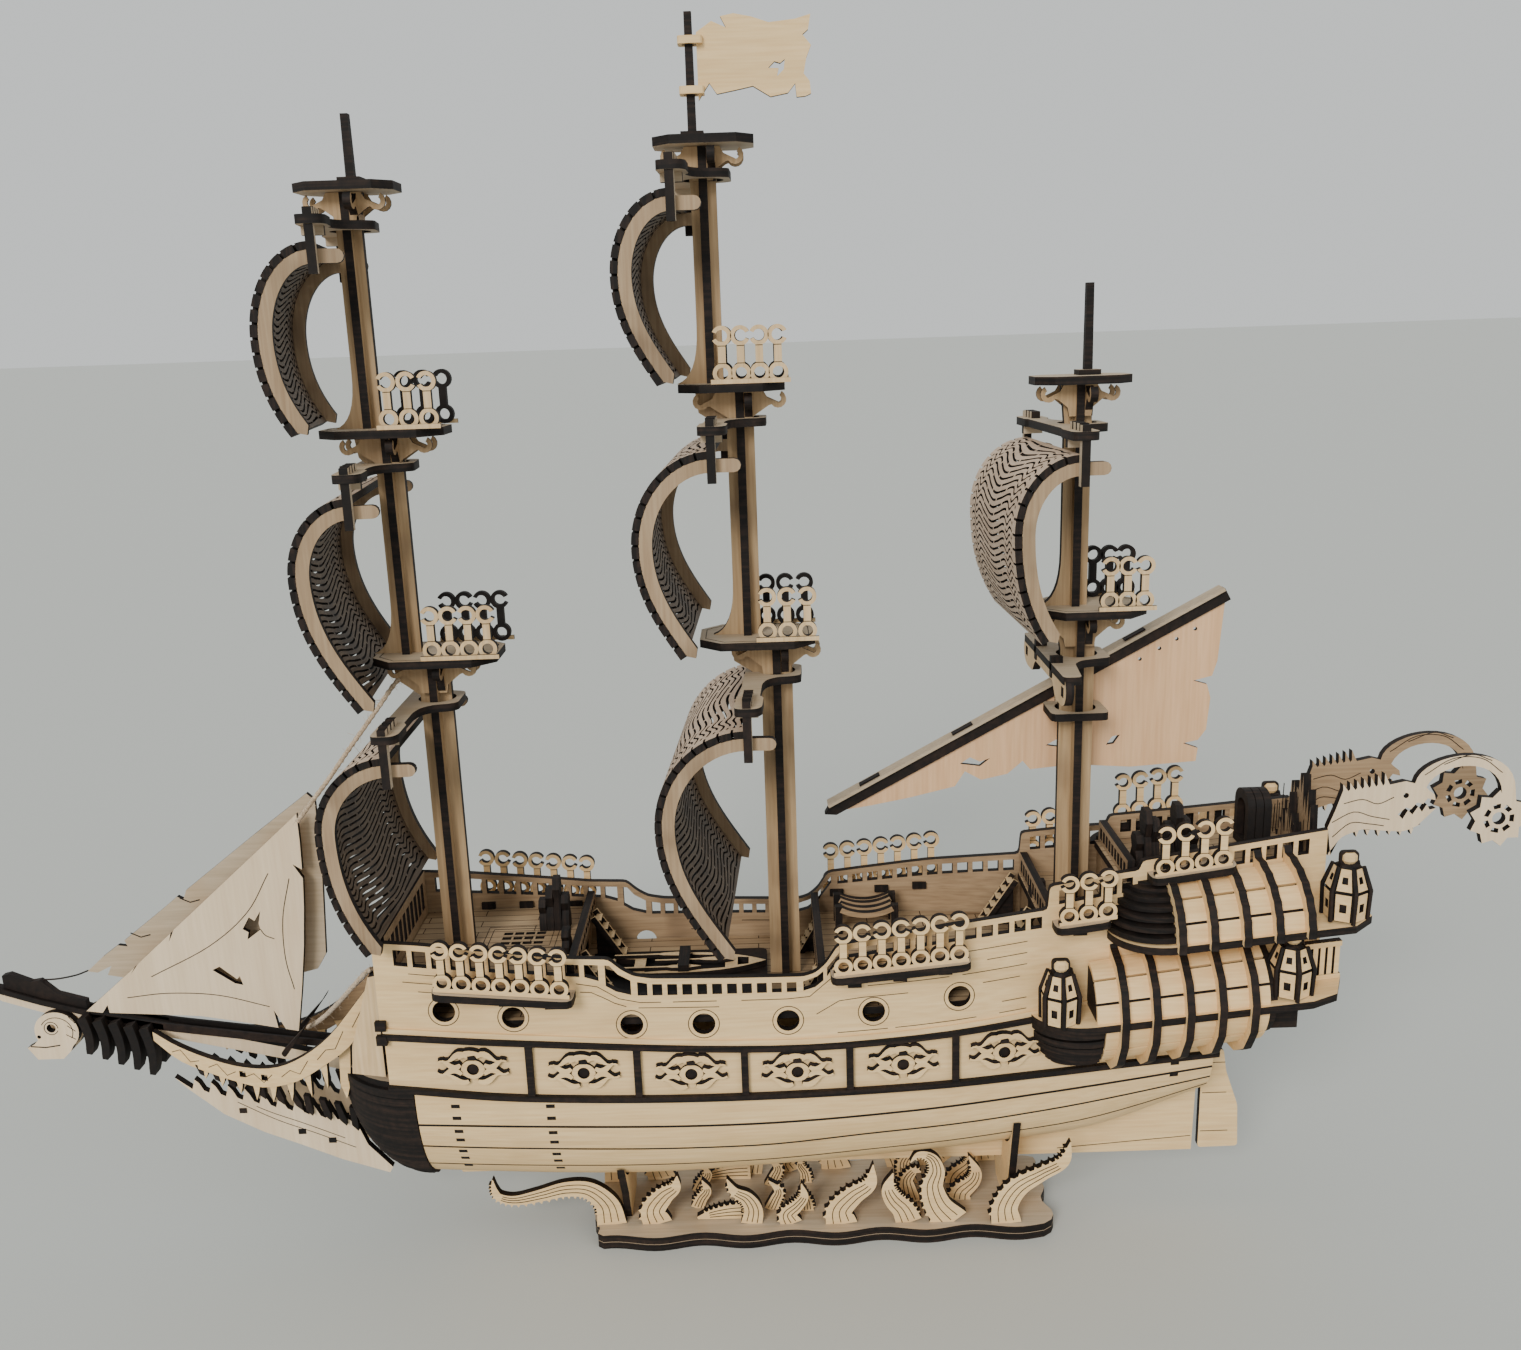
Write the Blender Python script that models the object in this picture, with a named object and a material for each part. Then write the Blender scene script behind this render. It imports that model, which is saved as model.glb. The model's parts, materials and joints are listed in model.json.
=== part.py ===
"""Model sailing ship of laser-cut plywood, standing on its own small base.

The ship lies along X with its bow towards -X, its port side towards -Y and Z up.  The
origin is the centre of the base's underside.  Most pieces are flat sheets cut from 3 mm
plywood: an outline and the plane that it lies in describe each of them.  The lengths are
in millimetres until a mesh is made.
"""

import math

import bmesh
import bpy
from mathutils import Vector
from mathutils.geometry import tessellate_polygon

MM = 0.001

# Driving dimensions, millimetres
PLY = 3.0                  # thickness of every plywood sheet
THIN = 2.0                 # thinner sheet of the flat sails and the flag
GAP = 0.35                 # clearance left between neighbouring pieces
BASE_LENGTH = 191.0
BASE_DEPTH = 51.0
BASE_TOP = 6.3
CRADLE_X = (-81.0, 78.0)
CRADLE_PLAY = 1.2          # room between a cradle's curved edge and the planking
HULL_FRONT = -168.0        # flat front of the hull sides
HULL_BACK = 196.0          # flat back of the hull sides
PLANKS_FRONT = -157.5      # forward ends of the lower planks
PLANKS_BACK = 156.0
FORE_DECK = 127.5          # heights of the deck tops
WAIST_DECK = 111.0
QUARTER_DECK = 121.5
MIZZEN_DECK = 140.0
POOP_DECK = 154.5
POOP_SLOPE = 0.08          # the poop deck rises towards the stern
FORE_BREAK = -94.0         # where the fore deck steps down to the waist
QUARTER_BREAK = 1.0
MIZZEN_BREAK = 87.0
POOP_BREAK = 118.0
MAST_X = {"fore": (-143.0, -152.0, -158.0), "main": (-12.0, -22.5, -32.5), "mizzen": (103.0, 101.0)}
MAST_WIDTH = {"fore": (12.0, 10.0, 9.0), "main": (12.0, 10.0, 9.0), "mizzen": (13.0, 10.0)}
YARD_BORE = 7.2            # radius of the hole by which a yard turns round its mast
COLLAR_BORE = 7.8          # the same for the crossjack yard and the lateen's collar
KEEL_BOTTOM = 23.5
RUDDER_HINGE = (161.0, 0.0)
CROSSJACK_Z = 237.5
LATEEN_Y = 8.6             # how far the slanting yard stands beside the mizzen mast
PORT_RADIUS = 4.4
TWINE_RADIUS = 0.95


# ---------------------------------------------------------------- materials

def wood(name, colour, roughness=0.65):
    """Plain wood material with one base colour."""
    material = bpy.data.materials.new(name)
    material.use_nodes = True
    shader = material.node_tree.nodes["Principled BSDF"]
    shader.inputs["Base Color"].default_value = (*colour, 1.0)
    shader.inputs["Roughness"].default_value = roughness
    shader.inputs["Metallic"].default_value = 0.0
    return material


def clear_scene():
    for item in list(bpy.data.objects):
        bpy.data.objects.remove(item, do_unlink=True)


# ---------------------------------------------------------------- shape helpers

def smooth_through(points):
    """Function of x that passes smoothly through a few (x, value) pairs."""
    def tangent(i):
        before = points[max(i - 1, 0)]
        after = points[min(i + 1, len(points) - 1)]
        return (after[1] - before[1]) / (after[0] - before[0])

    def value(x):
        if x <= points[0][0]:
            return points[0][1] + tangent(0) * (x - points[0][0])
        if x >= points[-1][0]:
            return points[-1][1] + tangent(len(points) - 1) * (x - points[-1][0])
        i = max(k for k in range(len(points) - 1) if points[k][0] <= x)
        (x0, y0), (x1, y1) = points[i], points[i + 1]
        span = x1 - x0
        t = (x - x0) / span
        return (y0 * (2 * t**3 - 3 * t**2 + 1) + y1 * (3 * t**2 - 2 * t**3)
                + tangent(i) * span * (t**3 - 2 * t**2 + t)
                + tangent(i + 1) * span * (t**3 - t**2))
    return value


def steps(start, end, count):
    return [start + (end - start) * i / count for i in range(count + 1)]


def arc(centre, radius, start, end, count):
    """Points on an arc; radius is one number or an (a, b) pair, angles in degrees."""
    a, b = radius if isinstance(radius, tuple) else (radius, radius)
    angles = [math.radians(angle) for angle in steps(start, end, count)]
    return [(centre[0] + a * math.cos(t), centre[1] + b * math.sin(t)) for t in angles]


def bezier(p0, p1, p2, p3, count):
    points = []
    for t in steps(0.0, 1.0, count):
        s = 1.0 - t
        points.append(tuple(s**3 * p0[k] + 3 * s * s * t * p1[k] + 3 * s * t * t * p2[k] + t**3 * p3[k]
                            for k in range(2)))
    return points


def rectangle(u0, u1, v0, v1):
    return [(u0, v0), (u1, v0), (u1, v1), (u0, v1)]


def finish_object(name, bm, material, pivot=(0.0, 0.0, 0.0), smooth=False):
    """Make the object from a mesh in millimetres, with its origin at the pivot."""
    bmesh.ops.remove_doubles(bm, verts=bm.verts, dist=1e-4)
    bmesh.ops.recalc_face_normals(bm, faces=bm.faces)
    shift = Vector(pivot)
    for vertex in bm.verts:
        vertex.co = (vertex.co - shift) * MM
    mesh = bpy.data.meshes.new(name)
    bm.to_mesh(mesh)
    bm.free()
    if smooth:
        mesh.shade_smooth()
        mesh.set_sharp_from_angle(angle=math.radians(35))
    mesh.materials.append(material)
    item = bpy.data.objects.new(name, mesh)
    item.location = shift * MM
    bpy.context.scene.collection.objects.link(item)
    return item


def in_plane(plane, u, v, w):
    """Point from its two coordinates in a sheet's plane and its place across it."""
    return {"XZ": (u, w, v), "XY": (u, v, w), "YZ": (w, u, v)}[plane]


def sheet_mesh(outline, plane, low, high, holes=()):
    """Closed solid of a flat sheet with the given outline and holes, from low to high."""
    loops = [list(outline)] + [list(hole) for hole in holes]
    flat = [point for loop in loops for point in loop]
    triangles = tessellate_polygon([[Vector((u, v, 0.0)) for u, v in loop] for loop in loops])
    bm = bmesh.new()
    lower = [bm.verts.new(in_plane(plane, u, v, low)) for u, v in flat]
    upper = [bm.verts.new(in_plane(plane, u, v, high)) for u, v in flat]
    for triangle in triangles:
        bm.faces.new([lower[i] for i in triangle])
        bm.faces.new([upper[i] for i in reversed(triangle)])
    first = 0
    for loop in loops:
        count = len(loop)
        for i in range(count):
            j = first + (i + 1) % count
            k = first + i
            bm.faces.new([lower[k], lower[j], upper[j], upper[k]])
        first += count
    return bm


def sheet(name, outline, plane, low, high, material, holes=(), pivot=(0.0, 0.0, 0.0)):
    return finish_object(name, sheet_mesh(outline, plane, low, high, holes), material, pivot)


def loft_mesh(sections):
    """Closed solid through sections with the same number of points each, ends capped."""
    bm = bmesh.new()
    rings = [[bm.verts.new(point) for point in section] for section in sections]
    count = len(sections[0])
    for ring, following in zip(rings, rings[1:]):
        for i in range(count):
            j = (i + 1) % count
            bm.faces.new([ring[i], ring[j], following[j], following[i]])
    bm.faces.new(list(reversed(rings[0])))
    bm.faces.new(rings[-1])
    return bm


def loft(name, sections, material, pivot=(0.0, 0.0, 0.0), smooth=False):
    return finish_object(name, loft_mesh(sections), material, pivot, smooth)


def combine(target, operation, others):
    """Join helper solids to the target or cut them out of it; the helpers stay hidden."""
    for other in others:
        other.hide_render = True
        other.display_type = "WIRE"
        modifier = target.modifiers.new(other.name, "BOOLEAN")
        modifier.operation = operation
        modifier.solver = "EXACT"
        modifier.object = other
    return target


def mirrored(sections, side):
    """Sections with their Y turned to the given side: -1 port, +1 starboard."""
    return [[(x, side * y, z) for x, y, z in section] for section in sections]


# ---------------------------------------------------------------- lines of the hull

half_beam = smooth_through([(-168, 35.6), (-120, 37.6), (-40, 38.0), (40, 34.8), (90, 29.4), (124, 25.8),
                            (196, 20.0)])
upper_wale = smooth_through([(-168, 107.3), (-111, 103.6), (-29, 98.5), (11, 98.1), (69, 101.5),
                             (160, 112.0)])
lower_wale = smooth_through([(-168, 85.5), (-112, 80.7), (-29, 78.5), (85, 79.4), (160, 82.0)])
hull_bottom = smooth_through([(-158, 30.0), (-78, 26.5), (-29, 28.0), (21, 31.0), (76, 35.0), (114, 40.0),
                              (160, 58.0)])

RAIL_TOP = [(-168.0, 145.8), (-150.0, 144.5), (-94.0, 137.9), (-79.0, 137.2), (-74.5, 133.0), (-70.0, 130.2),
            (-63.0, 128.9), (-30.0, 127.8), (-5.5, 127.2), (-1.0, 128.6), (3.0, 132.2), (7.5, 139.2),
            (50.0, 144.6), (87.6, 147.7), (88.4, 157.2), (113.0, 160.2), (123.0, 161.0), (124.0, 164.8),
            (160.0, 168.6), (196.0, 172.6)]


def rail_top(x):
    for (x0, z0), (x1, z1) in zip(RAIL_TOP, RAIL_TOP[1:]):
        if x <= x1:
            return z0 + (z1 - z0) * (x - x0) / (x1 - x0)
    return RAIL_TOP[-1][1]


def section_width(x, z):
    """Half width of the hull below the lower wale, at height z."""
    top = lower_wale(x)
    depth = (top - z) / (top - hull_bottom(x))
    return half_beam(x) * math.sqrt(max(0.0, 1.0 - depth**2.24))


# ---------------------------------------------------------------- stand

def make_stand(ply):
    half_length = BASE_LENGTH / 2
    half_depth = BASE_DEPTH / 2

    def wave(x, phase):
        return half_depth - 1.3 + 1.3 * math.sin(0.17 * x + phase)

    def ends(x_sign, y):
        return x_sign * (half_length - 1.6 + 1.6 * math.sin(0.35 * y + 1.2 * x_sign))

    outline = [(x, -wave(x, 0.6)) for x in steps(-half_length + 5, half_length - 5, 26)]
    outline += [(ends(1, y), y) for y in steps(-half_depth + 4, half_depth - 4, 6)]
    outline += [(x, wave(x, 2.2)) for x in steps(half_length - 5, -half_length + 5, 26)]
    outline += [(ends(-1, y), y) for y in steps(half_depth - 4, -half_depth + 4, 6)]
    sheet("stand_base", outline, "XY", 0.0, BASE_TOP, ply)
    for name, x in zip(("cradle_front", "cradle_aft"), CRADLE_X):
        cradle_outline = [(-21.5, BASE_TOP + GAP), (21.5, BASE_TOP + GAP)]
        hull_y = steps(27.0, 3.0, 6)
        shape = [(y, max(section_height(x, y) - CRADLE_PLAY, BASE_TOP + 4.0)) for y in hull_y]
        slot = [(2.0, KEEL_BOTTOM - GAP), (-2.0, KEEL_BOTTOM - GAP)]
        tops = shape[:-1] + slot + [(-y, z) for y, z in reversed(shape[:-1])]
        sheet(name, cradle_outline + tops, "YZ", x - PLY / 2, x + PLY / 2, ply)


def section_height(x, y):
    """Height of the hull's skin above the keel at distance y from the middle."""
    top = lower_wale(x)
    bottom = hull_bottom(x)
    share = min(abs(y) / half_beam(x), 1.0)
    return top - (top - bottom) * (1.0 - share * share)**(1 / 2.24)


# ---------------------------------------------------------------- hull

def make_keel(ply):
    upper = [(x, hull_bottom(x) + 9.0) for x in steps(150.0, -150.0, 10)]
    outline = [(-157.0, 33.0), (-151.0, KEEL_BOTTOM), (100.0, KEEL_BOTTOM), (156.5, KEEL_BOTTOM),
               (157.5, 72.0), (150.0, 72.0)] + upper
    sheet("keel", outline, "XZ", -PLY / 2, PLY / 2, ply)
    blade = [(159.2, KEEL_BOTTOM + 0.8), (176.0, KEEL_BOTTOM + 1.0), (175.0, 44.0), (169.5, 60.0),
             (168.0, 70.0), (159.2, 70.0)]
    sheet("rudder", blade, "XZ", -PLY / 2, PLY / 2, ply, pivot=(*RUDDER_HINGE, 0.0))


def make_bilge(side, name, ply):
    """Lower planking: a curved shell from the lower wale to the keel."""
    skin = 2.6
    sections = []
    for x in steps(PLANKS_FRONT, PLANKS_BACK, 14):
        top = lower_wale(x) - 1.0
        bottom = hull_bottom(x)
        levels = [top - (top - bottom) * math.sin(math.radians(a)) for a in (0, 20, 38, 54, 68, 78, 85)]
        outer = [(x, section_width(x, z), z) for z in levels]
        keel_side = PLY / 2 + GAP
        outer.append((x, keel_side, bottom))
        inner = []
        for _, y, z in outer:
            slope = (z - bottom) / (top - bottom)
            inner.append((x, max(y - skin * (0.35 + 0.65 * slope), keel_side), z + skin * (1.0 - slope)))
        sections.append(outer + list(reversed(inner)))
    loft(name, mirrored(sections, side), ply, smooth=True)


def make_bow_block(dark):
    """Rounded nose under the beakhead, a stack of dark plywood layers."""
    def layer(z):
        share = (z - 30.0) / (84.0 - 30.0)
        width = section_width(PLANKS_FRONT, min(z, lower_wale(PLANKS_FRONT) - 0.01)) + 0.4
        reach = 4.0 + 33.0 * math.sin(math.radians(90 * share**0.6))
        return [(x, y, z) for x, y in arc((PLANKS_FRONT - GAP, 0.0), (-reach, width), -90, 90, 12)]

    loft("bow_block", [layer(z) for z in (31.0, 38.0, 46.0, 54.0, 62.0, 70.0, 77.0, 83.2)], dark)


def side_strip(x_values, low, high, inset=0.0, thickness=PLY):
    """Sections of a strip that follows the side of the hull between two heights."""
    sections = []
    for x in x_values:
        y = half_beam(x) - inset
        sections.append([(x, y, low(x)), (x, y, high(x)), (x, y - thickness, high(x)),
                         (x, y - thickness, low(x))])
    return sections


PORTS = [(-142.8, 117.2), (-116.4, 114.2), (-71.5, 110.0), (-44.1, 109.3), (-12.0, 109.2), (20.7, 111.1),
         (53.7, 115.0)]
# Channels: the shelves under the shrouds, as (aft end, fore end, top, slope, reach)
CHANNELS = [(-144.5, -92.0, 130.2, -0.096, 48.0), (4.5, 57.0, 129.3, 0.089, 44.5),
            (89.5, 110.5, 143.4, 0.128, 38.0), (126.0, 158.0, 160.3, 0.132, 33.5)]


def make_upper_side(side, name, ply):
    """Side of the ship from the upper wale to the rail, with its ports and channels."""
    xs = sorted({x for x, _ in RAIL_TOP} | set(steps(-150.0, 190.0, 17)))
    sections = side_strip(xs, lambda x: upper_wale(x) + 1.6, rail_top)
    body = loft(name, mirrored(sections, side), ply, smooth=True)
    cutters = []
    for number, (x, z) in enumerate(PORTS):
        hole = arc((x, z), PORT_RADIUS, 0, 330, 11)
        low, high = sorted((side * 30.0, side * 45.0))
        cutters.append(sheet(f"port_cut_{name}_{number}", hole, "XZ", low, high, ply))
    combine(body, "DIFFERENCE", cutters)
    shelves = []
    for number, (x0, x1, z, slope, reach) in enumerate(CHANNELS):
        root = [(x, side * (half_beam(x) - 1.5)) for x in steps(x0, x1, 3)]
        outline = root + [(x1, side * (reach - 3)), (x1 - 3, side * reach), (x0 + 3, side * reach),
                          (x0, side * (reach - 3))]
        shelf = sheet_mesh(outline, "XY", z - PLY, z)
        for vertex in shelf.verts:
            vertex.co.z += slope * (vertex.co.x - x0)
        shelves.append(finish_object(f"channel_{name}_{number}", shelf, ply))
    combine(body, "UNION", shelves)


def make_panel_band(side, name, ply):
    xs = steps(HULL_FRONT + 1.0, 158.0, 15)
    sections = side_strip(xs, lambda x: lower_wale(x) - 0.6, lambda x: upper_wale(x) + 1.2, inset=0.4)
    loft(name, mirrored(sections, side), ply, smooth=True)


def deck_outline(x0, x1, inset=PLY + GAP + 0.5):
    xs = steps(x0, x1, 8)
    edge = [(x, half_beam(x) - inset) for x in xs]
    return [(x, -y) for x, y in edge] + list(reversed(edge))


def bulkhead(name, x, low, high, material, holes=()):
    half = half_beam(x) - PLY - GAP - 0.3
    board = rectangle(-half, half, low + GAP, high - GAP)
    return sheet(name, board, "YZ", x - PLY / 2, x + PLY / 2, material, holes)


def make_raised_deck(name, outline, level, slope, start, floor, tan):
    """Deck that rises towards the stern, joined to the bulkhead under its fore edge."""
    deck = sheet_mesh(outline, "XY", level - PLY, level)
    for vertex in deck.verts:
        vertex.co.z += slope * (vertex.co.x - start)
    body = finish_object(name, deck, tan)
    combine(body, "UNION", [bulkhead(f"{name}_bulkhead", start + 2.5, floor, level - PLY + 1.0, tan)])


def make_decks(tan):
    grating = rectangle(-127.5, -109.5, -2.0, 10.0)
    sheet("fore_deck", deck_outline(-163.5, FORE_BREAK), "XY", FORE_DECK - PLY, FORE_DECK, tan, holes=[grating])
    sheet("waist_deck", deck_outline(-163.5, 158.0), "XY", WAIST_DECK - PLY, WAIST_DECK, tan)
    sheet("quarter_deck", deck_outline(QUARTER_BREAK, 191.0), "XY", QUARTER_DECK - PLY, QUARTER_DECK, tan)
    make_raised_deck("mizzen_deck", deck_outline(MIZZEN_BREAK, POOP_BREAK - GAP), MIZZEN_DECK, 0.0, MIZZEN_BREAK,
                     QUARTER_DECK, tan)
    make_raised_deck("poop_deck", deck_outline(POOP_BREAK, 191.0), POOP_DECK, POOP_SLOPE, POOP_BREAK,
                     MIZZEN_DECK - PLY, tan)


def make_bulkheads(tan, dark):
    bulkhead("bow_bulkhead", HULL_FRONT + 2.6, 87.0, 136.0, tan)
    doors = [rectangle(y - 4.5, y + 4.5, WAIST_DECK + 2.0, WAIST_DECK + 6.0) for y in (-19.0, 0.0, 19.0)]
    bulkhead("fore_bulkhead", FORE_BREAK - 2.5, WAIST_DECK, FORE_DECK - PLY, tan, doors)
    bulkhead("quarter_bulkhead", QUARTER_BREAK + 3.0, WAIST_DECK, QUARTER_DECK - PLY, tan, doors)
    jagged = [(16.6, 160.0), (16.3, 172.0), (15.0, 178.0), (12.5, 171.0), (10.0, 183.0), (8.0, 175.0),
              (5.0, 190.0), (2.0, 182.0), (-1.0, 195.0), (-4.0, 186.0), (-6.5, 191.0), (-9.0, 180.0),
              (-11.5, 184.0), (-13.5, 174.0), (-16.0, 178.0), (-16.6, 160.0)]
    foot = [(-16.2, 100.0), (16.2, 100.0)]
    sheet("transom", foot + jagged, "YZ", 192.0, 192.0 + PLY, dark)


# ---------------------------------------------------------------- galleries

def make_gallery(side, name, ply):
    """Curved quarter galleries, one above the other, with their corner turrets."""
    def section(x, floor, reach, rise, drop, scale):
        hull = half_beam(x) + GAP
        centre = (hull, floor)
        upper = arc(centre, (reach * scale, rise * scale), 90, 0, 5)
        lower = arc(centre, (reach * scale, max(drop * scale, 1.5)), 0, -90, 4)
        return [(x, y, z) for y, z in upper + lower[1:]]

    def prism(label, x0, x1, floor, reach, rise, drop):
        nose = 16.0
        stations = [(x0 + nose * (1 - math.cos(math.radians(a))), max(math.sin(math.radians(a)), 0.3))
                    for a in (12, 35, 60, 90)]
        stations += [(x, 1.0) for x in steps(x0 + nose, x1, 6)[1:]]
        sections = [section(x, floor(x), reach(x), rise, drop, scale) for x, scale in stations]
        return loft(label, mirrored(sections, side), ply, smooth=True)

    def turret(label, x, y, low, high, radius):
        body = arc((x, side * y), radius, 0, 300, 5)
        tip = arc((x, side * y), radius * 0.45, 0, 300, 5)
        levels = [(body, low), (body, low + 0.55 * (high - low)), (tip, high)]
        return loft(label, [[(px, py, z) for px, py in ring] for ring, z in levels], ply)

    def low_floor(x):
        return 104.5 + 0.098 * (x - 90)

    def high_floor(x):
        return 136.5 + 0.098 * (x - 118)

    body = prism(name, 82.0, 184.0, low_floor, lambda x: 45.0 - half_beam(x), 19.0, 22.0)
    parts = [prism(f"upper_part_{name}", 111.5, 196.0, high_floor, lambda x: 46.0 - half_beam(x), 18.5, 4.5),
             turret(f"turret_a_{name}", 90.0, 38.0, 102.0, 131.5, 7.0),
             turret(f"turret_b_{name}", 178.0, 38.0, 111.0, 139.0, 7.5),
             turret(f"turret_c_{name}", 196.0, 38.0, 142.5, 171.0, 7.5)]
    floor_plate = [(182.0, side * 21.8), (198.5, side * 20.8), (199.5, side * 30.0), (193.0, side * 42.0),
                   (182.0, side * 44.6)]
    parts.append(sheet(f"balcony_{name}", floor_plate, "XY", 111.5, 114.5, ply))
    aft_plate = [(190.0, side * 20.9), (204.0, side * 20.0), (204.5, side * 40.0), (196.0, side * 46.0),
                 (190.0, side * 46.0)]
    parts.append(sheet(f"aft_floor_{name}", aft_plate, "XY", 140.2, 143.2, ply))
    combine(body, "UNION", parts)


# ---------------------------------------------------------------- bow

jaw_top = smooth_through([(-269.8, 96.4), (-259.7, 91.6), (-245.2, 87.5), (-230.9, 85.4), (-216.5, 86.5),
                          (-204.0, 92.2), (-191.8, 101.8), (-181.7, 113.7), (-168.4, 130.5)])
jaw_bottom = smooth_through([(-269.8, 92.5), (-259.7, 85.2), (-248.5, 81.6), (-234.2, 78.5), (-222.4, 77.2),
                             (-207.7, 81.1), (-195.5, 88.7), (-183.4, 98.3), (-174.5, 111.5), (-168.4, 120.5)])
jaw_width = smooth_through([(-269.8, 7.0), (-245.0, 14.0), (-216.0, 21.0), (-190.0, 25.0), (-168.4, 27.0)])


def make_beak(side, name, ply):
    """Curved head rail that sweeps from the hull down and forward to the bowsprit."""
    sections = []
    for x in steps(-269.8, -168.4, 14):
        y = jaw_width(x)
        sections.append([(x, y, jaw_bottom(x)), (x, y, jaw_top(x)), (x, y - PLY, jaw_top(x)),
                         (x, y - PLY, jaw_bottom(x))])
    loft(name, mirrored(sections, side), ply, smooth=True)


def make_cutwater(ply):
    """Two toothed boards under the head rails, held apart by two spacers."""
    lower = [(-262.0, 77.5), (-257.0, 72.0), (-243.8, 60.0), (-228.6, 51.3), (-214.2, 45.0), (-197.7, 37.4),
             (-178.8, 30.5)]
    upper = [(-177.4, 33.0), (-186.6, 43.9), (-189.3, 51.5), (-193.3, 56.0)]
    teeth = []
    count = 9
    for i in range(count):
        x = -198.0 - 6.6 * i
        base = 56.0 + 1.9 * i
        teeth += [(x, base), (x - 3.4, base + 7.0 - 0.3 * i), (x - 4.2, base + 0.8)]
    outline = lower + upper + teeth
    boards = [sheet_mesh(outline, "XZ", low, low + PLY) for low in (-10.5, 7.5)]
    body = finish_object("cutwater", boards[0], ply)
    other = finish_object("cutwater_starboard_half", boards[1], ply)
    spacers = []
    for number, (x, z) in enumerate([(-213.0, 51.0), (-201.0, 46.5), (-236.0, 61.5)]):
        bar = rectangle(x - 2.0, x + 2.0, z - 1.5, z + 1.5)
        spacers.append(sheet(f"cutwater_spacer_{number}", bar, "XZ", -9.0, 9.0, ply))
    combine(body, "UNION", spacers + [other])


def make_bowsprit(ply):
    spine = [(-342.0, 118.5), (-331.0, 114.9), (-315.5, 109.4), (-296.2, 103.6), (-266.9, 96.6),
             (-234.2, 88.6), (-212.7, 83.2), (-195.4, 79.0)]
    under = [(x, z - 6.0) for x, z in reversed(spine)]
    under[-1] = (-341.0, 115.5)
    body = sheet("bowsprit", spine + under, "XZ", -2.0, 2.0, ply)
    boom = [(-330.0, 120.5), (-318.7, 116.6), (-309.0, 112.0), (-297.7, 108.4), (-297.7, 100.5),
            (-330.0, 110.5)]
    combine(body, "UNION", [sheet("jib_boom", boom, "XZ", -1.4, 1.4, ply)])


def make_figurehead(ply):
    """Plain round figurehead on each side of the stem, two discs with a jaw block."""
    centre = (-309.5, 97.0)
    outline = arc(centre, (9.0, 8.6), -50, 205, 14)
    outline += [(-319.5, 91.5), (-322.5, 90.0), (-319.0, 84.6), (-308.5, 84.6), (-305.0, 88.0)]
    eyes = [arc((-314.0, 97.5), 2.1, 0, 315, 7), arc((-306.5, 97.0), 2.1, 0, 315, 7)]
    body = sheet("figurehead", outline, "XZ", -2.0 - GAP - PLY, -2.0 - GAP, ply, holes=eyes)
    other = sheet("figurehead_starboard_half", outline, "XZ", 2.0 + GAP, 2.0 + GAP + PLY, ply, holes=eyes)
    bridge = rectangle(-316.0, -309.0, 86.0, 89.0)
    combine(body, "UNION", [other, sheet("figurehead_bridge", bridge, "XZ", -3.5, 3.5, ply)])


def make_jibs(pale):
    near = [(-296.5, 105.2), (-283.9, 104.0), (-266.0, 102.6), (-250.5, 101.4), (-236.0, 98.6), (-222.3, 95.6),
            (-211.5, 93.3), (-205.0, 131.0), (-202.0, 160.0), (-201.4, 187.0)]
    sheet("outer_jib", near, "XZ", -2.0 - GAP - THIN, -2.0 - GAP, pale)
    far = [(-297.0, 119.5), (-262.0, 112.0), (-225.0, 112.0), (-203.0, 117.5), (-199.0, 124.0), (-196.5, 160.0),
           (-196.0, 190.0)]
    sheet("inner_jib", far, "XZ", 2.0 + GAP, 2.0 + GAP + THIN, pale)


# ---------------------------------------------------------------- stern serpents

def make_serpent(side, name, ply):
    """Flat sea-serpent bracket at the stern; its curled horn carries a notched disc."""
    neck_low = [(197.5, 160.0), (203.0, 168.0), (210.8, 171.0), (219.0, 170.0), (227.0, 169.3), (234.0, 172.5)]
    jaw = [(238.5, 178.5), (233.0, 177.0), (226.0, 174.5), (224.0, 176.5), (231.0, 181.0), (238.0, 181.8)]
    brow = [(235.0, 185.5), (231.0, 187.2)]
    disc = (263.0, 173.5)
    horn_out = bezier((229.6, 188.8), (231.0, 201.5), (267.0, 206.0), (268.3, 184.5), 9)
    horn_in = bezier((263.2, 183.5), (262.0, 199.0), (238.0, 198.0), (234.0, 187.0), 8)
    notched = []
    teeth = 9
    for i in range(teeth * 2):
        angle = math.radians(58 - 360 * (i + 0.5) / (teeth * 2) * 0.93)
        radius = 11.5 if i % 2 else 9.0
        notched.append((disc[0] + radius * math.cos(angle), disc[1] + radius * math.sin(angle)))
    back = [(222.0, 189.0), (214.4, 187.6), (206.0, 186.5), (200.0, 179.0), (197.5, 172.0)]
    outline = neck_low + jaw + [brow[0]] + list(reversed(horn_in)) + list(reversed(notched))
    outline += list(reversed(horn_out)) + back
    low, high = sorted((side * 13.0, side * (13.0 + PLY)))
    sheet(name, outline, "XZ", low, high, ply, holes=[arc(disc, 4.2, 0, 315, 7)])


# ---------------------------------------------------------------- masts and tops

TOPS = {
    "fore_lower_top": (-140.3, 248.0, -23.3, 23.3, 17.0),
    "fore_upper_top": (-152.4, 332.5, -22.6, 22.6, 15.0),
    "main_lower_top": (-18.9, 251.0, -21.6, 21.6, 17.0),
    "main_upper_top": (-25.2, 344.5, -19.2, 19.2, 15.0),
    "mizzen_top": (107.0, 258.0, -20.0, 20.0, 16.0),
}


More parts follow.
